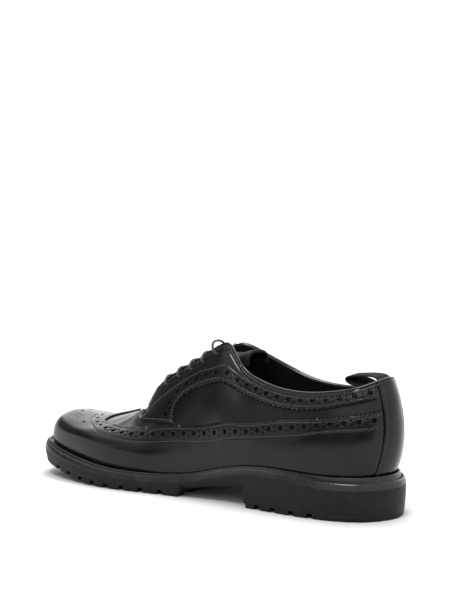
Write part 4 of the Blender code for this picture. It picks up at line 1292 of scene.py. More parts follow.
def make_collar_fold():
    there = np.linspace(COLLAR_START, HEEL_BACK, FOLD_STATIONS)
    back = there[-2::-1]
    s = np.append(there, back)
    side = np.append(np.ones_like(there), -np.ones_like(back))
    v = np.append(drop_down(there, False, FOLD_DROP), drop_down(back, True, FOLD_DROP))
    point, out, rise = edge_frame(side * s, v)
    points, faces = tube(point + out * (PANEL_LIFT - FOLD_SINK), out, rise, FOLD_SIDES, FOLD_HALF, FOLD_HALF)
    return add_piece("collar_fold", points, faces, FACING_FINISH)


COLLAR_BEAD = make_collar_bead()
CUT_EDGES = (make_cut_edge(False, "facing_cut_edge_medial"),
             make_cut_edge(True, "facing_cut_edge_lateral"))
COLLAR_FOLD = make_collar_fold()
print("collar bead and fold:", len(COLLAR_BEAD.data.polygons), len(COLLAR_FOLD.data.polygons), "faces")
print("cut edges:", *(len(edge.data.polygons) for edge in CUT_EDGES), "faces")

# %% [markdown]
# The sole is one rubber moulding: a wall all round with lugs below it, cut by notches, and a band of
# smoother rubber on top. The wall is lofted through loops of the plan, and the lugs are separate
# tapered blocks with bevelled edges that grow out of it.

# %% The finish of moulded rubber
RUBBER_DARK = (0.006, 0.006, 0.006, 1.0)
RUBBER_LIGHT = (0.010, 0.010, 0.010, 1.0)
RUBBER_PATCH_PER_METRE = 160.0
RUBBER_GRAIN_PER_METRE = 1300.0
RUBBER_SPREAD = 0.06


def moulded_rubber(name, dark, light, rough, bump, shine):
    """rough is the middle of the roughness, bump the grain's strength, shine the mirrored share."""
    material, tree, shader, place = start_finish(name)
    patches = noise_of(tree, place, RUBBER_PATCH_PER_METRE)
    uneven = range_between(tree, patches, rough - RUBBER_SPREAD, rough + RUBBER_SPREAD)
    tree.links.new(ramp_between(tree, patches, dark, light), shader.inputs["Base Color"])
    tree.links.new(uneven, shader.inputs["Roughness"])
    bump_from(tree, shader, noise_of(tree, place, RUBBER_GRAIN_PER_METRE, 3.0), bump, 0.12)
    shader.inputs["Specular IOR Level"].default_value = shine
    return material


SOLE_FINISH = moulded_rubber("sole_moulding", RUBBER_DARK, RUBBER_LIGHT, 0.5, 0.3, 0.16)
print("sole finish:", SOLE_FINISH.name)

# %% [markdown]
# The wall follows the plan, rises over the shank to the breast of the heel, and turns under in a
# small round at its foot. Loops of the plan are lofted, because the plan already knows the sole's
# true outline, and a loop only needs its inset and its height.

# %% The wall of the sole
LUG_HEIGHT = 3.2
LUG_INSET = 1.0
WALL_INSET = 0.4
WALL_FOOT = (
    # inset, rise of the round at the wall's foot
    (1.2, 0.0), (0.3, 0.25), (0.0, 1.0),
)
WALL_TOP = (
    # inset, rise at the wall's top, which reaches into the band
    (0.05, -0.4), (0.05, 0.2),
)
SHANK_INSET = 4.0
SHANK_SWELL = 0.25
STEP_MARGIN = 1.0
TREAD_END = 156.0
BREAST_TOP = 106.0
BREAST_FOOT = 100.0
SHANK_FRONT_Z = 5.6
SHANK_BACK_Z = 14.0
TREAD_LIFT = (
    # x, z of the lugs' lower faces
    (0.0, 0.0), (222.0, 0.0), (236.0, 1.0), (248.0, 2.4), (261.0, 4.6), (275.0, 7.3), (288.0, 9.6),
    (302.0, 11.4),
)
SOLE_COLUMNS = 150
tread_x, tread_z = columns(TREAD_LIFT)


def tread(x):
    return np.interp(x, tread_x, tread_z)


def tread_ceiling(x):
    """Height of the sole's underside, without its lugs."""
    fore = tread(x) + LUG_HEIGHT
    along = np.clip((TREAD_END - x) / (TREAD_END - BREAST_TOP), 0.0, 1.0)
    shank = SHANK_FRONT_Z + (SHANK_BACK_Z - SHANK_FRONT_Z) * along
    rear = np.where(x > BREAST_FOOT + STEP_MARGIN, shank, LUG_HEIGHT)
    return np.where(x >= TREAD_END - STEP_MARGIN, fore, rear)


def sole_stations():
    """u of the sole's columns: pairs at the same x on the two sides, between toe tip and heel back."""
    angle = np.linspace(0.0, math.pi, SOLE_COLUMNS)[1:-1]
    x = 0.5 * SOLE_LENGTH * (1 + np.cos(angle))
    steps = (TREAD_END, TREAD_END - 2 * STEP_MARGIN, BREAST_TOP, BREAST_FOOT, BREAST_FOOT + 2 * STEP_MARGIN)
    x = np.sort(np.append(x, steps))[::-1]
    return np.concatenate([[0.0], PLAN.u_at(x), [1.0], PLAN.u_at(x[::-1], True)])


SOLE_U = sole_stations()
SOLE_X = PLAN.point(SOLE_U)[:, 0]


def sole_loop(inset, height):
    return np.column_stack([plan_inset(SOLE_U, inset), np.broadcast_to(height, SOLE_U.shape)])


def loft(loops):
    """Closed solid through loops of the sole's columns, ruled across at both ends."""
    count = len(SOLE_U)
    faces = []
    for k in range(len(loops) - 1):
        a = k * count
        b = a + count
        faces += [(a + i, a + (i + 1) % count, b + (i + 1) % count, b + i) for i in range(count)]
    last = (len(loops) - 1) * count
    for i in range(count // 2):
        quad = [i, i + 1, count - i - 1, (count - i) % count]
        ring = list(dict.fromkeys(quad))
        if len(ring) > 2:
            faces.append(tuple(reversed(ring)))
            faces.append(tuple(last + k for k in ring))
    return np.concatenate(loops), faces


def make_sole_wall():
    top = welt_height(SOLE_U) - BAND_HEIGHT
    shank = (SOLE_X < TREAD_END - STEP_MARGIN) & (SOLE_X > BREAST_FOOT + STEP_MARGIN)
    foot = tread_ceiling(SOLE_X)
    foot_inset = np.where(shank, SHANK_INSET, LUG_INSET)
    swell = np.where(shank, SHANK_SWELL * SHANK_INSET, WALL_INSET)
    loops = [sole_loop(foot_inset + inset, foot + rise) for inset, rise in WALL_FOOT]
    loops.append(sole_loop(swell, 0.5 * (foot + top)))
    loops += [sole_loop(inset, top + rise) for inset, rise in WALL_TOP]
    points, faces = loft(loops)
    return add_piece("sole_wall", points, faces, SOLE_FINISH, ("outsole",))


SOLE_WALL = make_sole_wall()
print("sole wall:", len(SOLE_WALL.data.polygons), "faces")

# %% [markdown]
# Lugs stand along both edges, round the toe and the heel, and as bars between them. Each is a block
# that tapers to its foot, and a Bevel modifier rounds its edges as a mould does.

# %% The lugs of the tread
FOREFOOT_NOTCHES = (271.0, 257.5, 244.0, 231.0, 218.0, 204.0, 188.0, 172.0)
HEEL_NOTCHES = (89.0, 75.5, 61.0, 46.5)
NOTCH_WIDTH = 3.6
LUG_DEPTH = 12.0
TOE_LUG_DEPTH = 14.0
LUG_TAPER = 0.9
LUG_ROOT = 0.7
LUG_STATIONS = 7
TOE_LUG_STATIONS = 41
HEEL_LUG_STATIONS = 61
CENTRE_BARS = (
    # x of the back, x of the front, medial reach, lateral reach
    (160.0, 171.0, 20.0, 28.0), (176.0, 187.0, 22.0, 31.0), (192.0, 203.0, 25.0, 33.0),
    (208.0, 219.0, 28.0, 34.0), (224.0, 235.0, 28.0, 32.0), (240.0, 251.0, 25.0, 28.0),
    (256.0, 267.0, 20.0, 22.0), (36.0, 47.0, 16.0, 16.0), (53.0, 64.0, 20.0, 20.0), (70.0, 81.0, 20.0, 22.0),
)
LUG_ROUNDING = 0.55


def outer_lug(u_start, u_end, count, depth):
    """Plan corners of a lug along the sole's edge."""
    u = np.linspace(u_start, u_end, count)
    return np.concatenate([plan_inset(u, LUG_INSET), plan_inset(u[::-1], depth)])


def lug_plans():
    """Plan corners of every lug: along the edges, round the toe and heel, and the bars between."""
    half = 0.5 * NOTCH_WIDTH
    fore = FOREFOOT_NOTCHES + (TREAD_END + LUG_TAPER - half,)
    rear = (BREAST_FOOT - LUG_TAPER + half,) + HEEL_NOTCHES
    plans = []
    for ends in (fore, rear):
        for front, back in zip(ends[:-1], ends[1:]):
            for lateral in (False, True):
                span = (PLAN.u_at(front - half, lateral), PLAN.u_at(back + half, lateral))
                plans.append(outer_lug(*span, LUG_STATIONS, LUG_DEPTH))
    toe = FOREFOOT_NOTCHES[0] + half
    plans.append(outer_lug(PLAN.u_at(toe, True) - 2.0, PLAN.u_at(toe), TOE_LUG_STATIONS, TOE_LUG_DEPTH))
    heel = HEEL_NOTCHES[-1] - half
    plans.append(outer_lug(PLAN.u_at(heel), PLAN.u_at(heel, True), HEEL_LUG_STATIONS, LUG_DEPTH))
    for back, front, medial, lateral in CENTRE_BARS:
        plans.append(np.array([(back, medial), (front, medial), (front, -lateral), (back, -lateral)]))
    return plans


def make_lugs():
    points = []
    faces = []
    base = 0
    for corners in lug_plans():
        x, y = corners.T
        if np.sum(x * np.roll(y, -1) - y * np.roll(x, -1)) < 0:
            corners = corners[::-1]
        n = len(corners)
        middle = corners.mean(axis=0)
        reach = np.linalg.norm(corners - middle, axis=1, keepdims=True)
        foot = middle + (corners - middle) * (1 - LUG_TAPER / reach)
        points.append(np.column_stack([foot, tread(corners[:, 0])]))
        points.append(np.column_stack([corners, tread_ceiling(corners[:, 0]) + LUG_ROOT]))
        faces.append(tuple(base + k for k in reversed(range(n))))
        faces.append(tuple(base + n + k for k in range(n)))
        for k in range(n):
            j = (k + 1) % n
            faces.append((base + k, base + j, base + n + j, base + n + k))
        base += 2 * n
    piece = add_piece("tread_lugs", np.concatenate(points), faces, SOLE_FINISH)
    rounding = piece.modifiers.new("rounded_edges", "BEVEL")
    rounding.width = LUG_ROUNDING * MM
    rounding.segments = 2
    rounding.limit_method = "ANGLE"
    rounding.angle_limit = SHARP_ANGLE
    return piece


LUGS = make_lugs()
print("lugs:", len(lug_plans()), "blocks,", len(LUGS.data.polygons), "faces in the cage")

# %% [markdown]
# On top of the sole lies the edge band with the welt: a plate that the upper is sewn to. Its outer
# rim is a thin bright edge, then comes a groove in which the welt stitches lie, and beside the upper
# a raised bead keeps the wet out.

# %% The welt
BEAD_LEAN = 0.7
BAND_LEAN = 0.9
BAND_FOOT = (
    # inset, rise of the band's lower edge
    (0.0, 0.0), (0.15, 0.6),
)
WELT_TUCK = 0.2
WELT_PROFILE = (
    # share of the way in, height above the edge, share of the bead's height
    (0.00, -1.0, 0.0), (0.02, -0.85, 0.0), (0.14, -0.08, 0.0), (0.18, 0.0, 0.0), (0.22, -0.15, 0.0),
    (0.26, -0.85, 0.0), (0.34, -1.0, 0.0), (0.44, -0.95, 0.0), (0.50, -0.4, 0.1), (0.53, 0.0, 0.45),
    (0.66, 0.1, 1.15), (0.74, 0.15, 1.3), (0.84, 0.1, 1.25), (0.94, 0.0, 0.85), (1.00, 0.0, 0.3),
)
STITCH_SHARE = 0.35
BAND_DARK = (0.008, 0.008, 0.008, 1.0)
BAND_LIGHT = (0.012, 0.012, 0.012, 1.0)
WELT_FINISH = moulded_rubber("welt_edge_dressing", BAND_DARK, BAND_LIGHT, 0.25, 0.08, 0.34)


def welt_depth(u):
    """How far in from the edge the welt's bead ends, beside the upper."""
    return reveal(u) - PANEL_THICKNESS - 2 * GAP - BEAD_LEAN * bead_height(u)


def make_welt():
    edge = welt_height(SOLE_U)
    rise = bead_height(SOLE_U)
    depth = welt_depth(SOLE_U)
    loops = [sole_loop(inset, edge - BAND_HEIGHT + height) for inset, height in BAND_FOOT]
    for share, height, bead_share in WELT_PROFILE:
        inset = BAND_LEAN + share * (depth - BAND_LEAN)
        loops.append(sole_loop(inset, edge + height + bead_share * rise))
    loops.append(sole_loop(depth + WELT_TUCK, edge - WELT_TUCK))
    points, faces = loft(loops)
    return add_piece("welt_band", points, faces, WELT_FINISH, ("welt",))


WELT = make_welt()
print("welt:", len(WELT.data.polygons), "faces")

# %% [markdown]
# Inside lies the sock, a thin leather-covered board that follows the foot. It is seen only through
# the collar, so a plain plate with a softened rim is enough.

# %% The sock
SOCK_PROFILE = (
    # inset, rise of the plate's edge
    (0.0, 0.0), (0.0, 2.2), (0.9, 3.0),
)


def make_sock():
    edge = reveal(SOLE_U) + UPPER_WALL + 2 * GAP
    floor = welt_height(SOLE_U) + 2 * GAP
    points, faces = loft([sole_loop(edge + inset, floor + rise) for inset, rise in SOCK_PROFILE])
    return add_piece("sock", points, faces, LINING_FINISH, ("insole",))


SOCK = make_sock()
print("sock:", len(SOCK.data.polygons), "faces")

# %% [markdown]
# The tongue lies under the facings and shows its rounded top above the collar. A few sections under
# the facings, and arches above them, are drawn out by splines to an even cage. Solidify and one level
# of Subdivision Surface give it the soft edge of folded calf.

# %% The tongue
TONGUE_THICKNESS = 2.4
TONGUE_SECTIONS = (
    # s, clear of the upper's inside
    (0.13, 4.5), (0.24, 4.5), (0.29, 3.6), (0.345, 2.4), (0.357, 2.0), (0.39, 1.6), (0.43, 1.4), (0.476, 1.6),
    (0.522, 2.2), (0.553, 3.4), (0.58, 4.8),
)
TONGUE_TOP = (
    # x, crown y, crown z, medial reach, lateral reach, drop to the sides
    (126.5, 1.0, 101.0, 9.8, 9.4, 8.0), (119.5, 1.2, 102.6, 11.4, 12.0, 9.4),
    (113.6, 1.6, 103.8, 11.8, 14.2, 11.4),
)
TONGUE_LENGTHWAYS = 80
TONGUE_ACROSS = 33
TONGUE_ARCH = (
    # share of the reach, share of the drop
    (1.0, 1.0), (0.97, 0.62), (0.86, 0.28), (0.5, 0.06),
)
TONGUE_ROWS = (0.87, 0.93, 0.98)
TONGUE_MIDDLE = (0.25, 0.5, 0.75)
TONGUE_CROWN = 0.05


def tongue_section(s, depth):
    """Points across the tongue under both facings at s, from the medial side to the lateral."""
    v = np.array(TONGUE_ROWS) * opening_edge(s)
    medial = FORM.lifted(s, v, -depth)
    lateral = FORM.lifted(-s, v, -depth)
    span = lateral[-1] - medial[-1]
    crown = np.array([0.0, 0.0, TONGUE_CROWN * np.linalg.norm(span)])
    middle = [medial[-1] + span * k + crown * 4 * k * (1 - k) for k in TONGUE_MIDDLE]
    return np.concatenate([medial, middle, lateral[::-1]])


def refined(cage, count):
    """More rows on smooth curves through the rows of a cage."""
    rows, across, _ = cage.shape
    knots = np.arange(rows)
    places = np.linspace(0.0, rows - 1.0, count)
    flat = cage.reshape(rows, -1)
    drawn = [table_curve(knots, flat[:, k])(places) for k in range(flat.shape[1])]
    return np.stack(drawn, axis=1).reshape(count, across, 3)


def soften(piece, thickness, levels):
    """A wall inwards from the surface, and a smooth skin over the cage."""
    wall = piece.modifiers.new("wall", "SOLIDIFY")
    wall.thickness = thickness * MM
    wall.offset = -1.0
    skin = piece.modifiers.new("skin", "SUBSURF")
    skin.levels = levels
    skin.render_levels = levels
    return piece


def tongue_arch(x, crown_y, crown_z, medial, lateral, drop):
    """Points across the tongue's free top, from the medial side to the lateral."""
    near = [(x, crown_y + medial * out, crown_z - drop * down) for out, down in TONGUE_ARCH]
    far = [(x, crown_y - lateral * out, crown_z - drop * down) for out, down in TONGUE_ARCH]
    return np.array(near + [(x, crown_y, crown_z)] + far[::-1])


def make_tongue():
    sections = [tongue_section(s, UPPER_WALL + clear) for s, clear in TONGUE_SECTIONS]
    sections += [tongue_arch(*row) for row in TONGUE_TOP]
    lengthways = refined(np.array(sections), TONGUE_LENGTHWAYS)
    surface = refined(lengthways.swapaxes(0, 1), TONGUE_ACROSS).swapaxes(0, 1)
    faces = grid_faces(surface.shape[0], surface.shape[1])
    piece = add_piece("tongue_flap", surface.reshape(-1, 3), faces, TONGUE_FINISH, ("tongue",))
    return soften(piece, TONGUE_THICKNESS, 1)


TONGUE = make_tongue()
print("tongue:", len(TONGUE.data.polygons), "faces in the cage")

# %% [markdown]
# A sewn stitch is a short plump lens of thread that dives into the leather at both ends. One is
# modelled once and copied along a line by arrays, so a whole row is a single joined mesh.

# %% Thread and stitches
THREAD_COLOUR = (0.012, 0.012, 0.012, 1.0)
THREAD_LIGHT = (0.034, 0.034, 0.034, 1.0)
WELT_THREAD_COLOUR = (0.024, 0.024, 0.024, 1.0)
WELT_THREAD_LIGHT = (0.055, 0.055, 0.055, 1.0)
TWIST_PER_METRE = 2600.0
STITCH_SIDES = 6
STITCH_RINGS = (0.18, 0.5, 0.82)
STITCH_DIP = 0.3


def waxed_thread(name, dark, light, rough):
    material, tree, shader, place = start_finish(name)
    fibres = noise_of(tree, place, TWIST_PER_METRE, 2.0)
    tree.links.new(ramp_between(tree, fibres, dark, light), shader.inputs["Base Color"])
    bump_from(tree, shader, fibres, 0.4, 0.08)
    shader.inputs["Roughness"].default_value = rough
    shader.inputs["Sheen Weight"].default_value = 0.15
    return material


THREAD_FINISH = waxed_thread("waxed_thread", THREAD_COLOUR, THREAD_LIGHT, 0.45)
WELT_THREAD_FINISH = waxed_thread("welt_thread", WELT_THREAD_COLOUR, WELT_THREAD_LIGHT, 0.5)


def one_stitch():
    """Points of a stitch of unit length, width and height: along, across, out."""
    points = [(-0.5, 0.0, -STITCH_DIP)]
    for share in STITCH_RINGS:
        swell = math.sin(math.pi * share) ** 0.5
        for k in range(STITCH_SIDES):
            turn = 2 * math.pi * k / STITCH_SIDES
            points.append((share - 0.5, 0.5 * swell * math.cos(turn), 0.5 * swell * math.sin(turn)))
    points.append((0.5, 0.0, -STITCH_DIP))
    faces = []
    last = len(points) - 1
    for k in range(STITCH_SIDES):
        j = (k + 1) % STITCH_SIDES
        faces.append((0, 1 + j, 1 + k))
        for ring in range(len(STITCH_RINGS) - 1):
            a = 1 + ring * STITCH_SIDES
            faces.append((a + k, a + j, a + STITCH_SIDES + j, a + STITCH_SIDES + k))
        a = 1 + (len(STITCH_RINGS) - 1) * STITCH_SIDES
        faces.append((a + k, a + j, last))
    return np.array(points), faces


STITCH_POINTS, STITCH_FACES = one_stitch()


def sew(places, out, stitch):
    """Stitches of one length, width and height at the places of a row, laid along it."""
    along = unit(np.gradient(places, axis=0))
    side = unit(np.cross(out, along))
    size = STITCH_POINTS * np.array(stitch)
    points = (places[:, None, :] + size[None, :, 0:1] * along[:, None, :]
              + size[None, :, 1:2] * side[:, None, :] + size[None, :, 2:3] * out[:, None, :])
    faces = []
    for k in range(len(places)):
        base = k * len(STITCH_POINTS)
        faces += [tuple(base + i for i in face) for face in STITCH_FACES]
    return points.reshape(-1, 3), faces


def join_rows(rows):
    """Several (points, faces) as one."""
    points = []
    faces = []
    base = 0
    for row_points, row_faces in rows:
        points.append(row_points)
        faces += [tuple(base + k for k in face) for face in row_faces]
        base += len(row_points)
    return np.concatenate(points), faces


STITCH_PITCH = 2.1
STITCH_PROUD = 0.2
STITCH_LIFT = PANEL_LIFT - SEAM_DEPTH + STITCH_PROUD
SEAM_END_MARGIN = 1.0
SEAM_STITCH = (1.45, 0.6, 0.5)


def sew_seams(lines):
    """Stitches lying in the grooves of several seams."""
    rows = []
    for line in lines:
        xy = line.spaced(STITCH_PITCH, SEAM_END_MARGIN, line.length - SEAM_END_MARGIN)
        rows.append(sew(PATTERN.on_last(xy, STITCH_LIFT), PATTERN.normal(xy), SEAM_STITCH))
    return join_rows(rows)


def wing_stitches():
    seams = []
    for lateral in (False, True):
        seams += [WING_SEAMS[lateral], WING_LOWER[lateral]]
    points, faces = sew_seams(seams)
    return add_piece("wing_stitches", points, faces, THREAD_FINISH)


def facing_stitches(lateral, name):
    points, faces = sew_seams(FACING_SEAMS[lateral])
    return add_piece(name, points, faces, THREAD_FINISH)


STRIP_STITCH = (1.45, 0.55, 0.5)
STRIP_STITCH_SPAN = (0.05, 0.97)
STRIP_STITCH_COUNT = 40


def back_stitches():
    rows = []
    v = np.linspace(*STRIP_STITCH_SPAN, STRIP_STITCH_COUNT)
    for sign in (1.0, -1.0):
        u = 1.0 - sign * (1.0 - backstay_edge(v) - STRIP_STITCH_IN)
        rows.append(sew(FORM.lifted(u, v, STITCH_LIFT), FORM.normal(u, v), STRIP_STITCH))
    points, faces = join_rows(rows)
    return add_piece("back_strip_stitches", points, faces, THREAD_FINISH)


WELT_STITCH_PITCH = 2.7
WELT_STITCH = (1.9, 0.9, 1.1)
WELT_STITCH_DROP = 0.55
GIRTH_SAMPLES = 2001


def stitch_inset(u):
    """How far in from the edge the welt's stitches lie."""
    return BAND_LEAN + STITCH_SHARE * (welt_depth(u) - BAND_LEAN)


def welt_stitches():
    girth = np.linspace(0.0, 2.0, GIRTH_SAMPLES)
    path = plan_inset(girth, stitch_inset(girth))
    run = np.append(0.0, np.cumsum(np.linalg.norm(np.diff(path, axis=0), axis=1)))
    count = int(run[-1] / WELT_STITCH_PITCH)
    u = np.interp(np.linspace(0.0, run[-1], count, endpoint=False), run, girth)
    places = np.column_stack([plan_inset(u, stitch_inset(u)), welt_height(u) - WELT_STITCH_DROP])
    up = np.tile([0.0, 0.0, 1.0], (count, 1))
    points, faces = sew(places, up, WELT_STITCH)
    return add_piece("welt_stitches", points, faces, WELT_THREAD_FINISH)


STITCH_PIECES = [wing_stitches(), facing_stitches(False, "facing_stitches_medial"),
                 facing_stitches(True, "facing_stitches_lateral"),
                 back_stitches(), welt_stitches()]
print("stitches:", sum(len(p.data.vertices) for p in STITCH_PIECES) // len(STITCH_POINTS))

# %% [markdown]
# One thin waxed lace runs through all ten eyelets: it bars straight across on top, and climbs from
# eyelet to eyelet underneath. Each bar stands up in a small arch where it turns into its eyelet. The
# hidden ends stop under the top eyelets. Two strands twist round each other, so the tube's section
# has lobes that wind along it.

# %% The lace
LACE_RADIUS = 1.0
LACE_STEP = 0.45
LACE_SIDES = 12
LACE_TURN = 4.2
LACE_LOBE = 0.12
BAR_SHAPE = (
    # v, lift above the facing, growth of the lift at the medial end of the top bar
    (0.925, -1.4, 1.0), (0.922, 0.5, 1.4), (0.927, 1.6, 1.7), (0.945, 2.3, 2.0), (0.972, 2.1, 2.7),
    (1.0, 1.4, 3.8),
)
BAR_MIDDLE = (0.25, 0.5, 0.75)
BAR_ARCH = 0.8
TOP_BAR_ARCH = (1.4, -0.6, -3.0)
UNDER_LIFT = -4.2
UNDER_PLACES = 5
END_DROP = 0.01
PATH_SAMPLES = 40
LACE_COLOUR = (0.014, 0.014, 0.015, 1.0)
LACE_LIGHT = (0.040, 0.040, 0.042, 1.0)


def eyelet_run(lateral, start, end):
    """Places of the lace under a facing, from one eyelet to another."""
    sign = -1.0 if lateral else 1.0
    s = np.linspace(start, end, UNDER_PLACES)[1:-1]
    return FORM.lifted(sign * s, np.full_like(s, EYELET_V), UNDER_LIFT)


def bar(s, from_lateral):
    """One bar: up out of an eyelet, across, and down into the other."""
    v, shape, growth = np.array(BAR_SHAPE).T
    at_top = s == EYELETS[-1]
    medial = FORM.lifted(s, v, PANEL_LIFT + shape * (growth if at_top else 1.0))
    lateral = FORM.lifted(-s, v, PANEL_LIFT + shape)
    middle = medial[-1] + (lateral[-1] - medial[-1]) * np.array(BAR_MIDDLE)[:, None]
    middle[:, 2] += TOP_BAR_ARCH if at_top else BAR_ARCH
    path = np.concatenate([medial, middle, lateral[::-1]])
    return path[::-1] if from_lateral else path


def lace_route():
    """Places of the whole lace, from its end under the top medial eyelet to the one opposite."""
    route = [FORM.lifted(EYELETS[-1], EYELET_V - END_DROP, UNDER_LIFT)[None, :],
             eyelet_run(False, EYELETS[-1], EYELETS[0])]
    on_lateral = False
    for k, s in enumerate(EYELETS):
        route.append(bar(s, on_lateral))
        on_lateral = not on_lateral
        if k + 1 < len(EYELETS):
            route.append(eyelet_run(on_lateral, s, EYELETS[k + 1]))
    route.append(FORM.lifted(-EYELETS[-1], EYELET_V - END_DROP, UNDER_LIFT)[None, :])
    return np.concatenate(route)


def even_path(knots, step):
    """A smooth path through knots with points at an even step."""
    chord = np.linalg.norm(np.diff(knots, axis=0), axis=1) ** 0.5
    t = np.append(0.0, np.cumsum(chord))
    q = np.linspace(0.0, t[-1], PATH_SAMPLES * len(knots))
    path = np.column_stack([table_curve(t, knots[:, k])(q) for k in range(3)])
    run = np.append(0.0, np.cumsum(np.linalg.norm(np.diff(path, axis=0), axis=1)))
    place = np.linspace(0.0, run[-1], int(run[-1] / step))
    return np.column_stack([np.interp(place, run, path[:, k]) for k in range(3)]), run[-1]


def cross_frame(path):
    """Two directions across a path that turn with it and don't spin."""
    along = unit(np.gradient(path, axis=0))
    side = np.empty_like(path)
    side[0] = unit(np.cross(along[0], [0.0, 0.0, 1.0]))
    for k in range(1, len(path)):
        kept = side[k - 1] - along[k] * np.dot(side[k - 1], along[k])
        side[k] = kept / np.linalg.norm(kept)
    return side, np.cross(along, side)


LACE_FINISH = waxed_thread("waxed_lace", LACE_COLOUR, LACE_LIGHT, 0.5)


def make_lace():
    path, length = even_path(lace_route(), LACE_STEP)
    side, up = cross_frame(path)
    turn = np.linspace(0.0, 2 * math.pi, LACE_SIDES, endpoint=False)
    wind = 2 * math.pi * np.arange(len(path)) * LACE_STEP / LACE_TURN
    radius = LACE_RADIUS * (1 - LACE_LOBE + LACE_LOBE * np.cos(2 * (turn[None, :] - wind[:, None])))
    ring = np.cos(turn)[None, :, None] * side[:, None, :] + np.sin(turn)[None, :, None] * up[:, None, :]
    points = (path[:, None, :] + ring * radius[:, :, None]).reshape(-1, 3)
    faces = grid_faces(len(path), LACE_SIDES, closed_rows=True)
    faces = [face[::-1] for face in faces]
    last = (len(path) - 1) * LACE_SIDES
    faces.append(tuple(reversed(range(LACE_SIDES))))
    faces.append(tuple(last + k for k in range(LACE_SIDES)))
    bars = [f"lace_bar_{k + 1}" for k in range(len(EYELETS))]
    return add_piece("lace", points, faces, LACE_FINISH, bars), length


LACE, LACE_LENGTH = make_lace()
print("lace:", len(LACE.data.polygons), "faces, length in mm:", round(LACE_LENGTH))

# %% [markdown]
# A loop of woven tape is sewn inside the heel, to pull the shoe on by. It runs forward over the
# opening, folds over and runs back. The weave is fine, so its ribs are bump, while the fold itself
# is a softened ribbon.

# %% The pull loop
TAPE_WIDTH = 16.0
TAPE_THICKNESS = 1.2
TAPE_ROWS = (0.5, 0.48, 0.25, 0.0, -0.25, -0.48, -0.5)
TAPE_PATH = (
    # x, z of the tape, rise of its far edge: the upper strand out, its nose, and the lower strand back
    (12.0, 86.0, 0.0), (12.3, 88.8, 0.0), (13.4, 91.0, 0.0), (16.0, 92.0, 0.0), (20.0, 92.2, 0.0),
    (26.0, 91.9, 0.0), (32.0, 91.3, 0.0), (36.4, 90.6, 0.2), (38.4, 89.8, 0.5), (38.0, 88.4, 1.6),
    (35.0, 87.0, 3.2), (30.0, 86.0, 4.4), (24.0, 85.6, 3.2), (18.5, 85.0, 0.8), (14.5, 83.6, 0.0),
)
TAPE_TWIST_START = 12.6
TAPE_TWIST_END = 38.3
TAPE_TWIST = 0.2
TAPE_DARK = (0.008, 0.008, 0.008, 1.0)
TAPE_LIGHT = (0.03, 0.03, 0.03, 1.0)
WEAVE_PER_METRE = 320.0


def woven_tape():
    material, tree, shader, place = start_finish("woven_tape")
    weave = []
    for direction in ("X", "Y"):
        wave = tree.nodes.new("ShaderNodeTexWave")
        wave.bands_direction = direction
        wave.inputs["Scale"].default_value = WEAVE_PER_METRE
        tree.links.new(place, wave.inputs["Vector"])
        weave.append(wave.outputs["Fac"])
    ribs = multiplied(tree, *weave)
    tree.links.new(ramp_between(tree, ribs, TAPE_DARK, TAPE_LIGHT, 0.2, 0.8), shader.inputs["Base Color"])
    bump_from(tree, shader, ribs, 0.6, 0.3)
    shader.inputs["Roughness"].default_value = 0.85
    shader.inputs["Specular IOR Level"].default_value = 0.06
    return material


TAPE_FINISH = woven_tape()


def make_pull_loop():
    path = np.array(TAPE_PATH)
    y = np.array(TAPE_ROWS) * TAPE_WIDTH
    twist = TAPE_TWIST * (path[:, 0] - TAPE_TWIST_START) / (TAPE_TWIST_END - TAPE_TWIST_START)
    surface = np.empty((len(path), len(y), 3))
    surface[:, :, 0] = path[:, None, 0] - twist[:, None] * y[None, :]
    surface[:, :, 1] = y[None, :]
    surface[:, :, 2] = path[:, None, 1] + path[:, None, 2] * (0.5 - y[None, :] / TAPE_WIDTH)
    faces = grid_faces(len(path), len(y))
    piece = add_piece("pull_loop", surface.reshape(-1, 3), faces, TAPE_FINISH, ("pull_tab",))
    return soften(piece, TAPE_THICKNESS, 2)


PULL_LOOP = make_pull_loop()
print("pull loop:", len(PULL_LOOP.data.polygons), "faces in the cage")

# %% [markdown]
# The photograph is a white studio. Polished black leather shows little but what it mirrors, so the
# studio is drawn as it looks from the shoe: white walls and ceiling, a dark gap high up beyond the
# toe, and a dark opening low down on the side where the lens stands. The pale floor stops short of
# that opening, which is why the shoe's sides are dark between a lit foot and a lit top. Two soft
# lights, one overhead and one above the lens, draw the thin bright lines on rims and rolled edges.
# The lens itself sees plain white all round, and the floor glows more with its distance from the
# shoe, so that it fades into that white.

# %% Floor, light and surroundings
FLOOR_NEAR = 0.36
FLOOR_FAR = 6.0
FLOOR_DARK = (0.50, 0.50, 0.50, 1.0)
FLOOR_PALE = (0.52, 0.52, 0.52, 1.0)
FLOOR_PATCHES_PER_METRE = 3.0
GLOW_START = 0.45
GLOW_END = 1.5
FLOOR_GLOW = 0.9
WHITE = (1.0, 1.0, 1.0, 1.0)
SOFTBOXES = (
    # name, place in metres, size, power
    ("overhead_softbox", (0.12, -0.22, 1.3), 0.6, 16.0),
    ("near_softbox", (-0.22, 0.60, 1.2), 0.45, 11.0),
)
STUDIO_STRENGTH = 1.3
STUDIO_PLACES = (
    # azimuth of its middle from the heel-to-toe axis, fade at its sides, fade in and fade out by
    # height, share of the light that is left
    (108.0, (0.50, 0.76), (-1.1, -1.0), (0.10, 0.20), 0.10),
    (4.0, (0.72, 0.84), (0.08, 0.26), (0.60, 0.72), 0.14),
    (42.0, (0.72, 0.90), (0.10, 0.22), (0.62, 0.72), 0.42),
    (-60.0, (0.40, 0.72), (0.05, 0.20), (0.75, 0.85), 1.6),
)
LENS_WHITE = 1.05


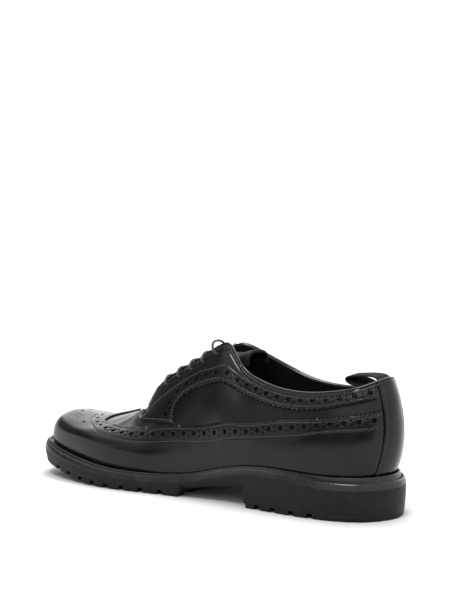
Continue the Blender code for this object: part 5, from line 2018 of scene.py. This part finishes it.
def smooth_range(tree, source, start, end, low, high):
    """A value eased from low to high while the source goes from start to end."""
    ease = tree.nodes.new("ShaderNodeMapRange")
    ease.interpolation_type = "SMOOTHSTEP"
    ease.inputs["From Min"].default_value = start
    ease.inputs["From Max"].default_value = end
    ease.inputs["To Min"].default_value = low
    ease.inputs["To Max"].default_value = high
    tree.links.new(source, ease.inputs["Value"])
    return ease.outputs["Result"]


def make_floor():
    """A pale rectangle, square to the lens, that ends shortly in front of the shoe."""
    toward = np.array([-math.sin(CAMERA_YAW), math.cos(CAMERA_YAW), 0.0])
    aside = np.array([math.cos(CAMERA_YAW), math.sin(CAMERA_YAW), 0.0])
    corners = [toward * FLOOR_NEAR + aside * FLOOR_FAR, toward * FLOOR_NEAR - aside * FLOOR_FAR,
               -toward * FLOOR_FAR - aside * FLOOR_FAR, -toward * FLOOR_FAR + aside * FLOOR_FAR]
    mesh = bpy.data.meshes.new("studio_floor")
    mesh.from_pydata([tuple(corner) for corner in corners], [], [(0, 1, 2, 3)])
    material, tree, shader, place = start_finish("floor_paint")
    paint = noise_of(tree, place, FLOOR_PATCHES_PER_METRE)
    tree.links.new(ramp_between(tree, paint, FLOOR_DARK, FLOOR_PALE), shader.inputs["Base Color"])
    # Painted glow: the floor emits light that grows with its distance from the shoe, so the far floor burns
    # to white while the floor near the shoe keeps its shade.
    away = tree.nodes.new("ShaderNodeVectorMath")
    away.operation = "LENGTH"
    tree.links.new(place, away.inputs[0])
    glow = smooth_range(tree, away.outputs["Value"], GLOW_START, GLOW_END, 0.0, FLOOR_GLOW)
    tree.links.new(glow, shader.inputs["Emission Strength"])
    shader.inputs["Emission Color"].default_value = WHITE
    shader.inputs["Roughness"].default_value = 0.9
    shader.inputs["Specular IOR Level"].default_value = 0.0
    mesh.materials.append(material)
    floor = bpy.data.objects.new("studio_floor", mesh)
    bpy.context.scene.collection.objects.link(floor)
    return floor


def add_softbox(name, place, size, power):
    """A square soft light turned to the shoe."""
    light = bpy.data.lights.new(name, "AREA")
    light.shape = "SQUARE"
    light.size = size
    light.energy = power
    lamp = bpy.data.objects.new(name, light)
    bpy.context.scene.collection.objects.link(lamp)
    lamp.location = place
    lamp.rotation_mode = "QUATERNION"
    lamp.rotation_quaternion = (-Vector(place)).to_track_quat("-Z", "Y")
    return lamp


def studio_brightness(tree):
    """How bright the studio is in each direction from the shoe."""
    place = tree.nodes.new("ShaderNodeTexCoord")
    parts = tree.nodes.new("ShaderNodeSeparateXYZ")
    tree.links.new(place.outputs["Generated"], parts.inputs["Vector"])
    bright = None
    for azimuth, side, rise, fall, share in STUDIO_PLACES:
        turn = math.radians(azimuth)
        toward = tree.nodes.new("ShaderNodeVectorMath")
        toward.operation = "DOT_PRODUCT"
        toward.inputs[1].default_value = (math.cos(turn), math.sin(turn), 0.0)
        tree.links.new(place.outputs["Generated"], toward.inputs[0])
        across = smooth_range(tree, toward.outputs["Value"], *side, 0.0, 1.0)
        above = smooth_range(tree, parts.outputs["Z"], *rise, 0.0, 1.0)
        below = smooth_range(tree, parts.outputs["Z"], *fall, 1.0, 0.0)
        inside_it = multiplied(tree, across, multiplied(tree, above, below))
        if bright is None:
            bright = smooth_range(tree, inside_it, 0.0, 1.0, STUDIO_STRENGTH, STUDIO_STRENGTH * share)
        else:
            bright = multiplied(tree, bright, smooth_range(tree, inside_it, 0.0, 1.0, 1.0, share))
    return bright


def surroundings():
    """The studio for everything that mirrors it, and plain white for the lens."""
    world = bpy.data.worlds.new("white_studio")
    world.use_nodes = True
    tree = world.node_tree
    studio = tree.nodes["Background"]
    studio.inputs["Color"].default_value = WHITE
    tree.links.new(studio_brightness(tree), studio.inputs["Strength"])
    backdrop = tree.nodes.new("ShaderNodeBackground")
    backdrop.inputs["Color"].default_value = WHITE
    backdrop.inputs["Strength"].default_value = LENS_WHITE
    seen = tree.nodes.new("ShaderNodeLightPath")
    either = tree.nodes.new("ShaderNodeMixShader")
    tree.links.new(seen.outputs["Is Camera Ray"], either.inputs["Fac"])
    tree.links.new(studio.outputs["Background"], either.inputs[1])
    tree.links.new(backdrop.outputs["Background"], either.inputs[2])
    tree.links.new(either.outputs["Shader"], tree.nodes["World Output"].inputs["Surface"])
    bpy.context.scene.world = world
    return world


FLOOR = make_floor()
LAMPS = [add_softbox(*row) for row in SOFTBOXES]
STUDIO = surroundings()
bpy.context.scene.view_settings.view_transform = "Standard"
print("floor, lights and studio:", FLOOR.name, len(LAMPS), STUDIO.name)
